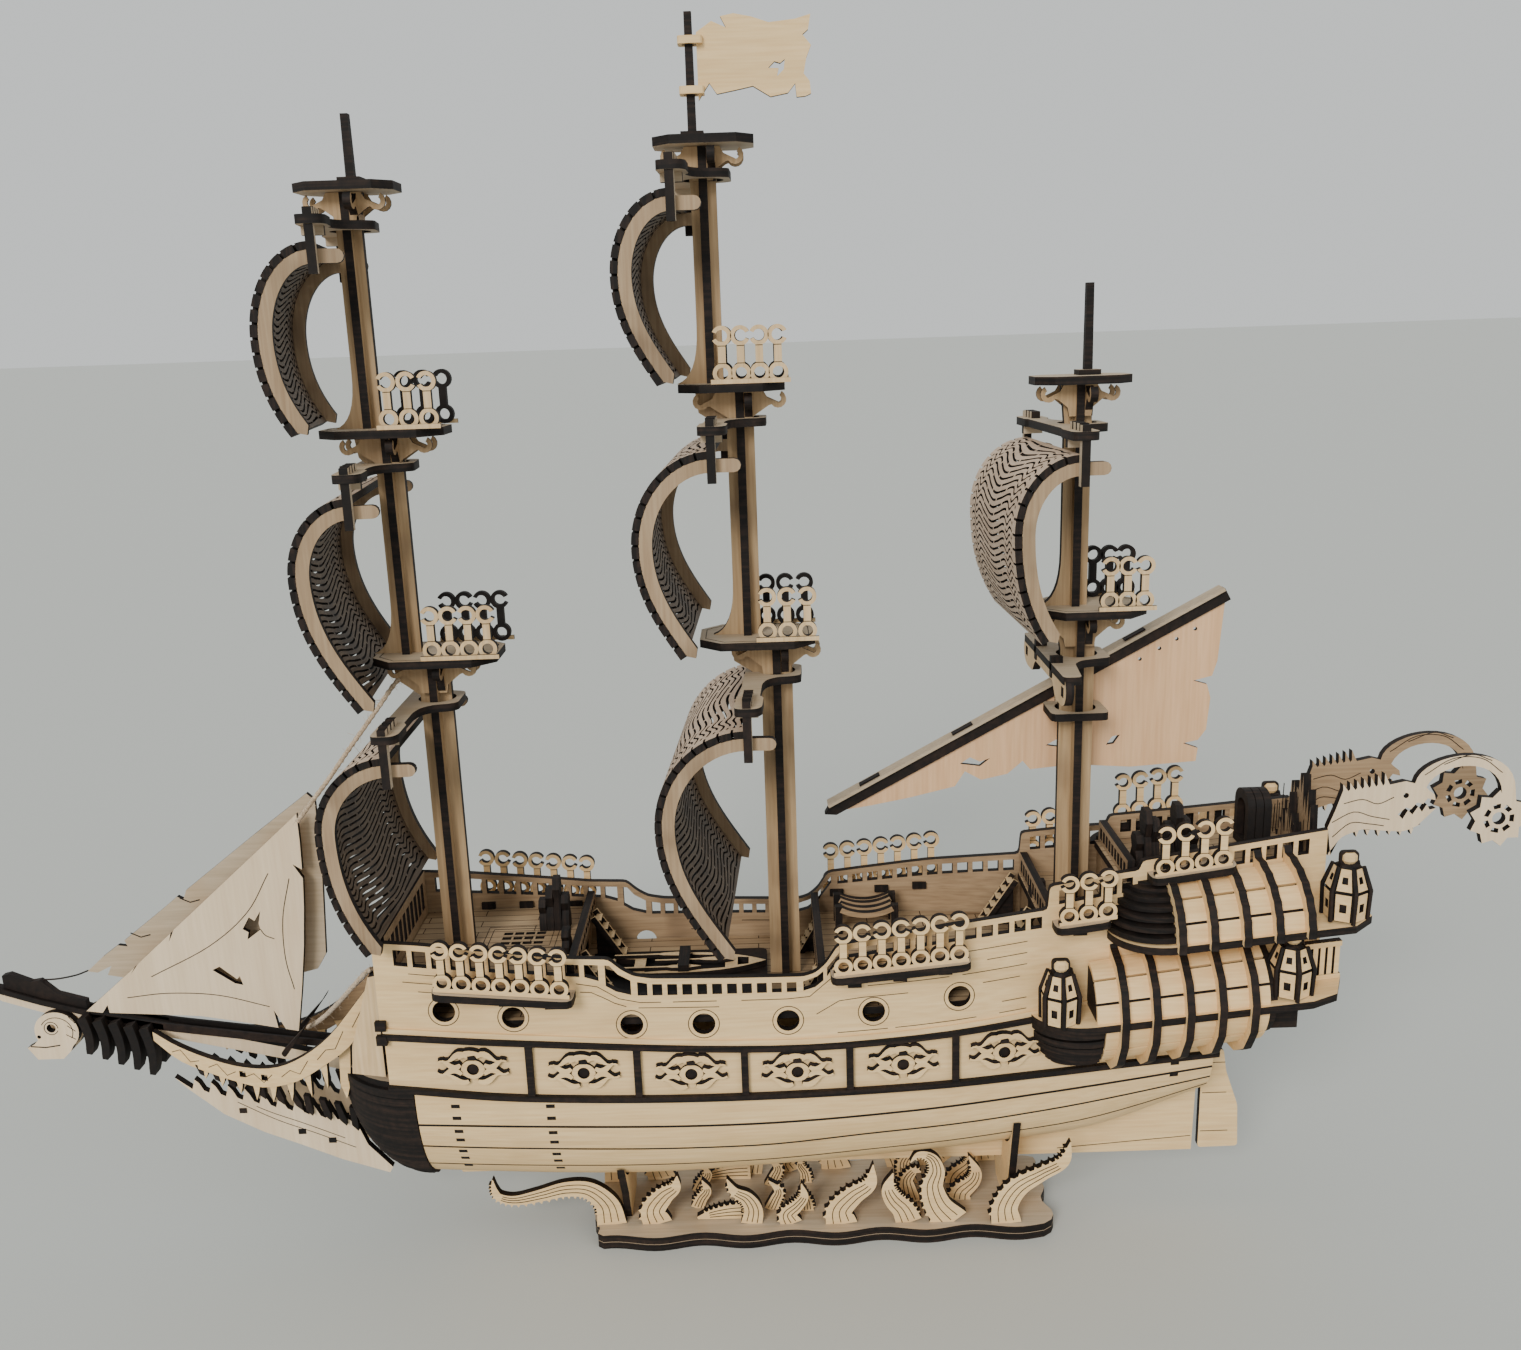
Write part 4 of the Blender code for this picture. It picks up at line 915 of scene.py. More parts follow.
PORTS = [(-142.8, 117.2), (-116.4, 114.2), (-71.5, 110.0), (-44.1, 109.3), (-12.0, 109.2), (20.7, 111.1),
         (53.7, 115.0)]
PORT_RADIUS = 4.4
RAIL_BAR = 2.3
CHANNELS = [(-144.5, -92.0, 130.2, -0.096, 48.0), (4.5, 57.0, 129.3, 0.089, 44.5),
            (89.5, 110.5, 143.4, 0.128, 38.0), (126.0, 158.0, 160.3, 0.132, 33.5)]
LINK_ROWS = [(-139.9, 7, 45.4, 133.7, -0.69), (9.15, 7, 41.7, 133.2, 0.64), (94.5, 3, 35.0, 147.5, 0.92),
             (131.0, 4, 30.7, 164.1, 0.95)]
LINK_PITCH = 7.2
SIDE_CUTS = steps(-160.0, 190.0, 35)


def balustrade_holes():
    """Openings between the balusters, from the rail's foot to its top bar."""
    spans = [(-161.0, -82.0, 11), (-69.5, -7.5, 11), (10.5, 86.5, 12), (91.0, 121.5, 5), (127.5, 190.0, 10)]
    holes = []
    for start, end, count in spans:
        pitch = (end - start) / count
        for k in range(count):
            left = start + pitch * k + 0.95
            right = left + pitch - 1.9
            holes.append(slanted(left, right, lambda x: rail_foot(x) + 0.4, lambda x: rail_top(x) - RAIL_BAR))
    holes.append([(-80.4, 126.4), (-76.6, 124.0), (-71.0, 122.4), (-71.0, 128.3), (-75.6, 131.0),
                  (-78.6, 134.6), (-80.4, 134.9)])
    holes.append([(-5.9, 121.3), (-1.4, 122.6), (1.8, 125.2), (1.8, 129.0), (-0.6, 127.0), (-5.9, 125.2)])
    holes.append([(3.2, 126.8), (8.8, 134.6), (8.8, 137.6), (7.9, 136.2), (3.2, 130.4)])
    return holes


def add_dashes(piece, side, low, high, row_gap, draw, level, span, keep_clear):
    """Broken engraved plank lines that follow the sheer of the side."""
    rows = int((high - low) / row_gap)
    for row in range(rows + 1):
        share = row / max(rows, 1)
        x = span[0] + draw.uniform(0.0, 14.0)
        while x < span[1] - 8.0:
            end = min(x + draw.uniform(12.0, 36.0), span[1])

            def height(u):
                base = upper_wale(u) + 5.0
                top = min(rail_foot(u) - 2.5, upper_wale(u) + 33.0)
                return base + (top - base) * share
            line = [(u, height(u)) for u in steps(x, end, 4)]
            clear = all(math.hypot(u - px, v - pz) > PORT_RADIUS + 2.6 for u, v in line
                        for px, pz in keep_clear)
            if clear and rail_foot(x) - upper_wale(x) > 12.0:
                piece.score(line, beside(side), level, SCORE, 0.28)
            x = end + draw.uniform(2.0, 12.0)


def make_upper_side(side):
    piece = Piece(SIDE_PLY, CHAR_Y, SHADED_PLY)
    draw = random.Random(11)
    foot = [(x, upper_wale(x) + 1.6) for x in steps(HULL_BACK, HULL_FRONT, 22)]
    crest = [RAIL_TOP[0]] + rounded(RAIL_TOP, 1.6, 2)[3:-3] + [RAIL_TOP[-1]]
    outline = crest + foot
    holes = balustrade_holes() + [circle(port, PORT_RADIUS, 20) for port in PORTS]
    # The inner face gets the darkened finish, which is painted shade.
    piece.sheet(outline, beside(side), -PLY, 0.0, holes, face=2, back=0, cuts=SIDE_CUTS)
    for port in PORTS:
        ring = circle(port, PORT_RADIUS + 1.5, 28)
        piece.score(ring + ring[:1], beside(side), 0.0, SCORE, 0.3)
    add_dashes(piece, side, 5.0, 31.0, 4.3, draw, 0.0, (-163.0, 80.0), PORTS)
    for x, z, width in ((-98.0, 126.2, 3.6), (-30.0, 118.0, 12.0), (30.0, 127.5, 5.0), (-52.0, 114.5, 16.0)):
        line = [(u, z - 0.02 * (u - x)) for u in steps(x, x + width, 3)]
        piece.score(line, beside(side), -PLY, -SCORE, 0.3)
    piece.make(f"upper_side_board_{NAMES[side]}", HULL, [f"upper_side_{NAMES[side]}"])


def make_channels(side):
    """Rounded shelves under the shroud links, the links themselves, and tabs below them."""
    shelves = Piece(TOP_PLY, CHAR_Z, CHAR_Y)
    links = Piece(SIDE_PLY, CHAR_Y, SHADED_PLY)
    for (x0, x1, top, slope, reach), (first, count, y, ring_z, rise) in zip(CHANNELS, LINK_ROWS):
        def tilted(u, v, w, x0=x0, top=top, slope=slope):
            return (u, side * v, top + w + slope * (u - x0))
        root = [(x1, half_beam(x1) - 0.2), (x0, half_beam(x0) - 0.2)]
        outline = root + rounded([(x0, reach - 9.0), (x0, reach), (x1, reach), (x1, reach - 9.0)], 5.0)[3:-3]
        shelves.sheet(outline, tilted, -PLY, 0.0)
        for x in (x0 + 9.0, (x0 + x1) / 2, x1 - 9.0):
            if x1 - x0 < 30.0 and x != (x0 + x1) / 2:
                continue
            drop = top + slope * (x - x0)
            block = rectangle(x - 2.6, x + 2.6, drop - 7.4, drop - PLY)
            near, far = on_side(side, half_beam(x) - 0.2, half_beam(x) + 2.6)
            shelves.sheet(block, on_xz, near, far, face=2, edge=2)
        add_links(links, first, count, LINK_PITCH, side * (y + 0.8), ring_z, rise, side)
        low = ring_z - RING - 0.3
        ends = [(first - 3.6, low - rise * 0.5),
                (first + LINK_PITCH * (count - 1) + 3.6, low + rise * (count - 0.5))]
        strip = ends + [(x, z + 1.7) for x, z in reversed(ends)]
        near, far = on_side(side, y - 1.9, y + 0.7)
        links.sheet(strip, on_xz, near, far)
    shelves.make(f"channel_shelves_{NAMES[side]}", HULL)
    links.make(f"shroud_links_{NAMES[side]}", HULL)


DIVIDERS = [-111.6, -70.3, -29.2, 11.2, 52.3]
ORNAMENTS = [-133.5, -91.0, -49.8, -9.0, 31.8, 71.5]


def add_ornament(piece, side, x, lift):
    """Relief of a ringed hole between wavy leaves, a plain scroll pattern."""
    place = beside(side)
    z = (upper_wale(x) + lower_wale(x)) / 2 - 0.6
    ring = [(x + 4.6 * math.cos(t), z + 4.0 * math.sin(t)) for t in [math.pi * k / 12 for k in range(24)]]
    piece.sheet(ring, place, lift, lift + 1.3, [circle((x, z), 2.4, 16)])
    piece.sheet(circle((x, z), 2.3, 14), place, lift, lift + 0.25, face=1)
    curls = [(1.6, 5.4, 10.0, 1.5), (4.6, 2.2, 8.6, -1.3), (4.4, -1.8, 9.4, 1.3), (1.8, -4.8, 9.6, -1.1)]
    leaves = []
    for hand in SIDES:
        for start, rise, reach, wave in curls:
            leaves.append([(x + hand * (start + reach * t),
                            z + rise * (1.0 - 0.25 * t) + wave * math.sin(t * 5.6) + 0.9 * t)
                           for t in steps(0.0, 1.0, 9)])
    leaves.append(spline([(x - 5.5, z + 5.2), (x - 2.2, z + 6.9), (x + 2.2, z + 6.9), (x + 5.5, z + 5.2)], 3))
    for leaf in leaves:
        widths = [0.4 + 0.8 * math.sin(math.pi * min(t * 1.15 + 0.12, 1.0)) for t in steps(0.0, 1.0, 9)]
        piece.sheet(ribbon(leaf, widths), place, lift + 0.5, lift + 1.7)
        # Dark ribbon set a little higher behind each leaf: partly its charred edge, partly painted shadow.
        charred_edge_and_shadow = [(u, v + 0.75) for u, v in leaf]
        piece.sheet(ribbon(charred_edge_and_shadow, widths), place, lift, lift + 1.1, face=1)
    piece.sheet(rectangle(x - 1.6, x + 1.6, z + 4.2, z + 5.8), place, lift, lift + 2.0, face=1)


def make_panel_band(side):
    """Board between the wales, framed by dark strips, with a relief in every panel."""
    board = Piece(SIDE_PLY, CHAR_Y, SHADED_PLY)
    place = beside(side)
    xs = steps(HULL_FRONT + 1.0, 158.0, 24)
    outline = [(x, lower_wale(x)) for x in xs] + [(x, upper_wale(x) + 1.3) for x in reversed(xs)]
    # The inner face gets the darkened finish, which is painted shade.
    board.sheet(outline, place, -PLY, -0.4, face=2, back=0, cuts=SIDE_CUTS)
    board.make(f"panel_board_{NAMES[side]}", HULL, [f"panel_band_{NAMES[side]}"])
    frame_strips = Piece(SIDE_PLY, CHAR_Z)
    for curve, drop, thick in ((upper_wale, 0.0, 2.4), (lower_wale, -0.6, 2.3)):
        strip = [(x, curve(x) + drop - thick / 2) for x in xs] + [(x, curve(x) + drop + thick / 2)
                                                                  for x in reversed(xs)]
        frame_strips.sheet(strip, place, -0.4, 1.7, face=1, cuts=SIDE_CUTS)
    ledge = [(x, upper_wale(x) + 1.3) for x in xs] + [(x, upper_wale(x) + 3.4) for x in reversed(xs)]
    frame_strips.sheet(ledge, place, 0.02, 0.9, face=0, edge=0, cuts=SIDE_CUTS)
    for x in DIVIDERS:
        post = rectangle(x - 1.35, x + 1.35, lower_wale(x) + 0.6, upper_wale(x) - 1.1)
        frame_strips.sheet(post, place, -0.4, 1.5, face=1)
    for z in (upper_wale(-166.0) - 1.0, upper_wale(-166.0) + 5.0):
        tab = rectangle(-169.5, -165.4, z - 2.2, z + 1.6)
        frame_strips.sheet(tab, place, -0.2, 2.0, face=1)
    frame_strips.make(f"wale_strips_{NAMES[side]}", HULL)
    reliefs = Piece(SIDE_PLY, CHAR_Y)
    for x in ORNAMENTS:
        add_ornament(reliefs, side, x, -0.4)
    reliefs.make(f"panel_reliefs_{NAMES[side]}", HULL)


SEAM_A = smooth_through([(-157.5, 67.6), (-137, 67.3), (-28, 64.8), (51, 67.6), (110, 71.0), (156, 75.0)])
SEAM_B = smooth_through([(-157.5, 56.4), (-139, 55.8), (-28, 53.1), (19.5, 56.4), (73, 59.3), (109, 62.9),
                         (156, 69.5)])
SEAM_C = smooth_through([(-157.5, 44.5), (-139, 44.0), (-28, 42.5), (19.5, 45.5), (73, 49.0), (109, 53.0),
                         (156, 64.5)])


def make_planking(side):
    """Strakes of the rounded bottom with dark seams, and the rows of tabs that hold them."""
    piece = Piece(SIDE_PLY, CHAR_X, SHADED_PLY)
    xs = steps(-157.5, 156.0, 36)
    lines = [lambda x: lower_wale(x) - 0.6, SEAM_A, SEAM_B, SEAM_C, lambda x: hull_bottom(x) + 0.2]
    seam = 0.32
    for upper, lower in zip(lines, lines[1:]):
        sections = []
        for x in xs:
            high = upper(x) - seam
            low = min(lower(x) + seam, high - 0.5)
            levels = steps(high, low, 6)
            outer = [(x, side * section_width(x, z), z) for z in levels]
            inner = [(x, side * max(section_width(x, z) - 2.4, 1.2), z) for z in reversed(levels)]
            sections.append(outer + inner)
        piece.loft(sections)
    backing = []
    for x in xs:
        levels = steps(lower_wale(x) - 1.0, hull_bottom(x) + 0.5, 12)
        outer = [(x, side * max(section_width(x, z) - 0.7, 1.0), z) for z in levels]
        inner = [(x, side * max(section_width(x, z) - 1.6, 0.6), z) for z in reversed(levels)]
        backing.append(outer + inner)
    piece.loft(backing, 1)
    for line, width in ((SEAM_A, 0.95), (SEAM_B, 0.75), (SEAM_C, 0.6)):
        piece.score([(x, line(x)) for x in xs], below(side), 0.0, 0.1, width)
    for x, levels in ((-142.0, (76.5, 71.0, 64.5, 60.0, 53.5, 49.0, 43.0)),
                      (-105.0, (76.0, 70.5, 63.5, 58.5, 51.5, 47.0, 41.0)), (140.5, (78.0, 72.5))):
        for z in levels:
            piece.sheet(rectangle(x - 1.7, x + 1.7, z - 0.8, z + 0.8), below(side), -1.0, SCORE, face=1)
    piece.make(f"planking_{NAMES[side]}", HULL, [f"lower_planking_{NAMES[side]}"])


# ---------------------------------------------------------------- stern galleries

GALLERY_SLOPE = 0.098


def low_floor(x):
    return 104.5 + GALLERY_SLOPE * (x - 90)


def high_floor(x):
    return 136.5 + GALLERY_SLOPE * (x - 118)


class Gallery:
    """One level of a side gallery: a floor line, and quarter ellipses above and below it."""

    def __init__(self, front, back, floor, reach, rise, drop, ribs):
        self.front = front
        self.back = back
        self.floor = floor
        self.reach = reach
        self.rise = rise
        self.drop = drop
        self.ribs = ribs

    def shell(self, x, angle, offset=0.0):
        """Point of the bulging shell: angle 90 at the hull above, 0 at the floor, -90 below."""
        hull = half_beam(x)
        height = self.rise if angle >= 0 else self.drop
        t = math.radians(angle)
        return (x, hull + (self.reach - hull + offset) * math.cos(t),
                self.floor(x) + (height + offset) * math.sin(t))


GALLERIES = {
    "lower": Gallery(82.0, 184.0, low_floor, 45.0, 19.5, 22.0, (113.8, 125.5, 138.0, 150.0, 162.0)),
    "upper": Gallery(111.5, 196.0, high_floor, 46.0, 19.0, 3.5, (133.3, 145.0, 157.0, 168.7, 180.4)),
}
NOSE = 22.0


def turned(side, points):
    return [(x, side * y, z) for x, y, z in points]


def add_shell_panel(piece, gallery, side, x0, x1, a0, a1):
    """Slightly curved board between two ribs and two angles of the shell."""
    sections = []
    for x in (x0, x1):
        outer = [gallery.shell(x, a) for a in steps(a0, a1, 4)]
        inner = [gallery.shell(x, a, -1.6) for a in reversed(steps(a0, a1, 4))]
        sections.append(turned(side, outer + inner))
    piece.loft(sections)


def add_gallery_rib(piece, gallery, side, x, low_angle):
    """Rib across the gallery: a curved sheet with a light face and a ragged dark edge."""
    def place(u, v, w):
        return (w, side * u, v)
    outer, inner = [], []
    for i, a in enumerate(steps(96.0, low_angle, 22)):
        lift = 3.4 + (0.5 if i % 3 == 1 else 0.0)
        _, y, z = gallery.shell(x, min(a, 90.0), lift)
        outer.append((y, z + (2.0 if a > 90.0 else 0.0)))
        _, y, z = gallery.shell(x, min(a, 90.0), -0.6)
        inner.append((y, z))
    piece.sheet(outer + list(reversed(inner)), place, x - PLY / 2, x + PLY / 2)


def add_nose(piece, gallery, side, x0, low_angle, high_angle):
    """Rounded end of a gallery: a stack of dark layers, each a quarter ring."""
    layers = 7
    for k in range(layers):
        a = low_angle + (high_angle - low_angle) * (k + 0.5) / layers
        t = math.radians(a)
        height = gallery.rise if a >= 0 else gallery.drop
        shrink = math.cos(t)
        z = height * math.sin(t)
        climb = math.sin(math.radians(high_angle)) - math.sin(math.radians(low_angle))
        thick = abs(height * climb) / layers
        end = x0 + NOSE + 3.0
        width = gallery.reach - half_beam(x0 + NOSE)
        rim = [(x0 + NOSE - NOSE * (0.35 + 0.65 * shrink) * math.cos(b),
                half_beam(x0 + NOSE) - 0.5 + (width + 0.6) * shrink * math.sin(b))
               for b in [math.radians(d) for d in steps(0.0, 90.0, 9)]]
        outline = rim + [(end, half_beam(end) - 0.5 + (width + 0.6) * shrink), (end, half_beam(end) - 1.5),
                         (rim[0][0], half_beam(rim[0][0]) - 1.5)]
        ring = [(x, side * y) for x, y in outline]
        base = gallery.floor(x0 + NOSE / 2) + z

        def place(u, v, w, base=base):
            return (u, v, base + w + GALLERY_SLOPE * (u - x0 - NOSE / 2))
        piece.sheet(ring, place, -thick / 2 + 0.25, thick / 2 - 0.05, face=1)


def add_turret(piece, side, x, y, low, high, radius):
    """Six-sided corner turret: pale boards with small windows between dark posts."""
    waist = low + 0.46 * (high - low)

    def corner(k, z, r):
        angle = math.radians(60 * k + 30)
        return Vector((x + r * math.cos(angle), side * (y + r * math.sin(angle)), z))
    levels = [(low, radius * 0.97), (waist, radius * 1.02), (high - 5.0, radius * 0.62)]
    core = [[tuple(corner(k, z, r - 1.1)) for k in range(6)] for z, r in levels + [(high - 3.6, 2.6)]]
    piece.loft(core, 1)
    for k in range(6):
        for (z0, r0), (z1, r1) in zip(levels, levels[1:]):
            a, b = corner(k, z0, r0), corner(k + 1, z0, r0)
            c, d = corner(k + 1, z1, r1), corner(k, z1, r1)
            middle = (a + b + c + d) / 4
            outward = (b - a).cross(d - a).normalized()
            if outward.dot(middle - Vector((x, side * y, middle.z))) < 0:
                outward = -outward

            def on_face(u, v, w, a=a, b=b, c=c, d=d, outward=outward):
                return tuple((a * (1 - u) + b * u) * (1 - v) + (d * (1 - u) + c * u) * v + outward * w)
            window = rectangle(0.34, 0.66, 0.34, 0.62)
            piece.sheet(rectangle(0.15, 0.85, 0.05, 0.94), on_face, -0.8, 0.35, [window])
        post = [tuple(corner(k, z, r + 0.5)) for z, r in levels]
        piece.tube(post, 0.9, 1, 6)
    knob = [[(x + r * math.cos(t), side * y + r * math.sin(t), high + z)
             for t in [math.pi * 2 * k / 10 for k in range(10)]]
            for z, r in ((-4.2, 2.2), (-3.0, 3.0), (-1.2, 3.0), (-0.1, 1.9))]
    piece.loft(knob, 0)
    fin = rectangle(x - 3.4, x + 3.4, high - 5.0, high + 0.4)
    piece.sheet(rounded(fin, 1.6), on_xz, side * y - 0.9, side * y + 0.9, face=1)


def make_gallery(side):
    piece = Piece(SIDE_PLY, CHAR_Y, SHADED_PLY)
    dark = Piece(SIDE_PLY, CHAR_Z)
    for level, gallery in GALLERIES.items():
        inner_sections = []
        for x in steps(gallery.front + NOSE, gallery.back - 12.0, 6):
            outer = [gallery.shell(x, a, -2.2) for a in steps(89.0, -89.0 if level == "lower" else 0.0, 12)]
            inner_sections.append(turned(side, outer + [(x, half_beam(x) - 0.2, outer[-1][2]),
                                                        (x, half_beam(x) - 0.2, outer[0][2])]))
        dark.loft(inner_sections, 1)
        bands = [(86.0, 56.0), (53.0, 28.0), (25.0, 3.5)]
        if level == "lower":
            bands += [(-6.0, -30.0), (-33.0, -58.0), (-61.0, -84.0)]
        stations = [gallery.front + NOSE + 2.0] + list(gallery.ribs) + [gallery.back - 14.0]
        for x0, x1 in zip(stations, stations[1:]):
            for a0, a1 in bands:
                if level == "lower" and a0 > 0 and x0 == stations[0]:
                    add_shell_panel(piece, gallery, side, x0 - 2.0, x1 - 1.5, a0, a1)
                else:
                    add_shell_panel(piece, gallery, side, x0 + 1.5, x1 - 1.5, a0, a1)
        for x in gallery.ribs:
            add_gallery_rib(piece, gallery, side, x, -96.0 if level == "lower" else -6.0)
        floor = gallery.floor
        front = gallery.front - 0.5
        nose_rim = [(front + NOSE - NOSE * math.cos(b), half_beam(front + NOSE)
                     + (gallery.reach + 1.6 - half_beam(front + NOSE)) * math.sin(b))
                    for b in [math.radians(d) for d in steps(0.0, 90.0, 10)]]
        if level == "lower":
            rest = [(184.0, 46.6), (194.0, 43.0), (200.5, 30.0), (199.5, 20.2)]
        else:
            rest = [(197.0, 47.6), (205.5, 41.0), (205.0, 19.6)]
        root = [(x, half_beam(x) + 0.1) for x in steps(rest[-1][0] - 12.0, front + 1.0, 8)]
        outline = [(x, side * y) for x, y in nose_rim + rest + root]

        def on_floor(u, v, w, floor=floor):
            return (u, v, floor(u) + w)
        dark.sheet(outline, on_floor, -1.5, 1.5)
    lower, upper = GALLERIES["lower"], GALLERIES["upper"]
    add_nose(dark, lower, side, 82.0, -80.0, -4.0)
    add_nose(dark, upper, side, 110.5, 4.0, 84.0)
    add_turret(piece, side, 91.0, 38.6, low_floor(91.0) + 1.6, 131.5, 7.0)
    add_turret(piece, side, 178.0, 38.0, low_floor(178.0) + 1.6, 139.5, 7.6)
    add_turret(piece, side, 196.0, 39.0, high_floor(196.0) + 1.6, 171.5, 7.6)
    for x in steps(187.0, 198.0, 4):
        bar = rectangle(x - 0.9, x + 0.9, low_floor(x) + 1.4, low_floor(x) + 17.0)
        piece.sheet(bar, on_xz, *on_side(side, 29.0, 31.6))
    for z in (2.6, 16.0):
        rail = [(185.5, low_floor(185.5) + z - 1.0), (199.5, low_floor(199.5) + z - 1.0),
                (199.5, low_floor(199.5) + z + 1.0), (185.5, low_floor(185.5) + z + 1.0)]
        piece.sheet(rail, on_xz, *on_side(side, 28.8, 31.8))
    block = rectangle(170.0, 184.0, 97.0, low_floor(177.0) - 1.6)
    dark.sheet(block, on_xz, *on_side(side, 23.0, 33.0), face=1)
    piece.make(f"gallery_boards_{NAMES[side]}", HULL, [f"gallery_{NAMES[side]}"])
    dark.make(f"gallery_floors_{NAMES[side]}", HULL)


# ---------------------------------------------------------------- bow

jaw_top = smooth_through([(-269.8, 96.4), (-259.7, 91.6), (-245.2, 87.5), (-230.9, 85.4), (-216.5, 86.5),
                          (-204.0, 92.2), (-191.8, 101.8), (-181.7, 113.7), (-168.4, 130.5)])
jaw_bottom = smooth_through([(-269.8, 92.5), (-259.7, 85.2), (-248.5, 81.6), (-234.2, 78.5), (-222.4, 77.2),
                             (-207.7, 81.1), (-195.5, 88.7), (-183.4, 98.3), (-174.5, 111.5),
                             (-168.4, 120.5)])
jaw_width = smooth_through([(-269.8, 7.0), (-245.0, 14.0), (-216.0, 21.0), (-190.0, 25.0), (-168.4, 27.0)])


def beside_jaw(side):
    def place(u, v, w):
        return (u, side * (jaw_width(u) + w), v)
    return place


def make_head_rail(side):
    """Curved rail of the head with an engraved zigzag, small slots and hanging fangs."""
    piece = Piece(SIDE_PLY, CHAR_Y, SHADED_PLY)
    xs = steps(-269.8, -168.4, 26)
    outline = [(x, jaw_top(x)) for x in xs] + [(x, jaw_bottom(x)) for x in reversed(xs)]
    slots = [rectangle(x - 1.4, x + 1.4, z - 1.3, z + 1.3) for x, z in ((-231.0, 82.2), (-221.5, 81.6))]
    place = beside_jaw(side)
    # The inner face gets the darkened finish, which is painted shade.
    piece.sheet(outline, place, -PLY, 0.0, slots, face=2, back=0, cuts=xs[1:-1])
    zigzag = []
    for i, x in enumerate(steps(-262.0, -174.0, 22)):
        middle = (jaw_top(x) + jaw_bottom(x)) / 2
        zigzag.append((x, middle + (1.4 if i % 2 else -1.2) + 0.8 * math.sin(i * 1.7)))
    for start in range(0, 22, 4):
        piece.score(zigzag[start:start + 4], place, 0.0, SCORE, 0.3)
    draw = random.Random(4)
    fangs = [(-248.0 + 7.4 * k, 5.0 + 0.9 * k) for k in range(8)]
    for x, length in fangs:
        root = jaw_bottom(x) + 1.2
        lean = draw.uniform(-1.0, 1.5)
        fang = [(x - 1.7, root), (x + 1.7, root), (x + 0.9 + lean * 0.5, root - length * 0.6),
                (x + lean, root - length)]
        piece.sheet(fang, place, -PLY - 0.2, -0.6)
    for x, foot_x, foot_z in ((-187.5, -189.0, 72.0), (-178.5, -176.0, 66.0)):
        prop = [(x - 2.4, jaw_bottom(x) + 3.0), (x + 2.6, jaw_bottom(x) + 4.0), (foot_x + 2.2, foot_z + 7.0),
                (foot_x, foot_z), (foot_x - 2.0, foot_z + 6.0)]
        piece.sheet(prop, place, -PLY - 3.4, -3.4 - GAP)
    piece.make(f"head_rail_board_{NAMES[side]}", HULL, [f"head_rail_{NAMES[side]}"])


def make_cutwater():
    """Two toothed boards below the head rails with dark ragged teeth between them."""
    piece = Piece(JIB_PLY, CHAR_Y, SHADED_PLY)
    lower = [(-262.0, 77.5), (-257.0, 72.0), (-243.8, 60.0), (-228.6, 51.3), (-214.2, 45.0), (-197.7, 37.4),
             (-178.8, 30.5)]
    upper = [(-177.4, 33.0), (-186.6, 43.9), (-189.3, 51.5), (-193.3, 56.0)]
    teeth = []
    for i in range(9):
        x = -198.0 - 6.6 * i
        base = 56.0 + 1.9 * i
        teeth += [(x, base), (x - 1.6, base + 3.4), (x - 3.4, base + 7.6 - 0.3 * i), (x - 3.6, base + 4.0),
                  (x - 4.6, base + 0.8)]
    slots = [rectangle(x - 1.6, x + 1.6, z - 1.2, z + 1.2) for x, z in ((-213.0, 51.0), (-201.0, 46.5))]
    for low in (-10.5, 7.5):
        piece.sheet(lower + upper + teeth, on_xz, low, low + PLY, slots)
    line = [(x + 6.0, z + 5.4) for x, z in lower[2:-1]]
    piece.score(spline(line, 4), on_xz, -10.5, -SCORE, 0.28)
    piece.score([(u - 4.0, v + 4.5) for u, v in spline(line, 4)[3:15]], on_xz, -10.5, -SCORE, 0.28)
    for x, z in ((-213.0, 51.0), (-201.0, 46.5), (-236.0, 61.5)):
        piece.sheet(rectangle(x - 1.5, x + 1.5, z - 1.1, z + 1.1), on_xz, -10.8, 10.8, face=1)
    dark = Piece(SIDE_PLY, CHAR_Y)
    draw = random.Random(9)
    for i in range(12):
        x = -252.0 + 6.0 * i
        base = 84.0 - 2.2 * i if i < 7 else 68.6 - 2.0 * (i - 7)
        size = 5.6 + 0.55 * i
        lean = draw.uniform(1.5, 4.0)
        tooth = [(x, base), (x + 2.4, base - 0.6), (x + lean + 1.4, base - size * 0.7),
                 (x + lean + 1.2, base - size), (x + lean - 1.2, base - size * 0.75)]
        for y in (-12.4, 10.0):
            dark.sheet(tooth, on_xz, y, y + 2.4, face=1)
    stem = [(-193.0, 74.0), (-186.0, 70.0), (-180.0, 58.0), (-172.0, 42.0), (-164.5, 30.5), (-167.0, 30.0),
            (-177.0, 38.0), (-186.0, 52.0), (-194.0, 66.0)]
    dark.sheet(rounded(stem, 2.0), on_xz, -6.4, -3.6, face=1)
    dark.sheet(rounded(stem, 2.0), on_xz, 3.6, 6.4, face=1)
    keelson = [(-196.0, 82.0), (-190.0, 72.0), (-188.0, 58.0), (-182.0, 46.0), (-177.8, 42.0), (-172.0, 60.0),
               (-171.0, 82.0)]
    dark.sheet(keelson, on_xz, -1.5, 1.5, face=0)
    piece.make("cutwater_boards", HULL, ["cutwater"])
    dark.make("cutwater_teeth", HULL)


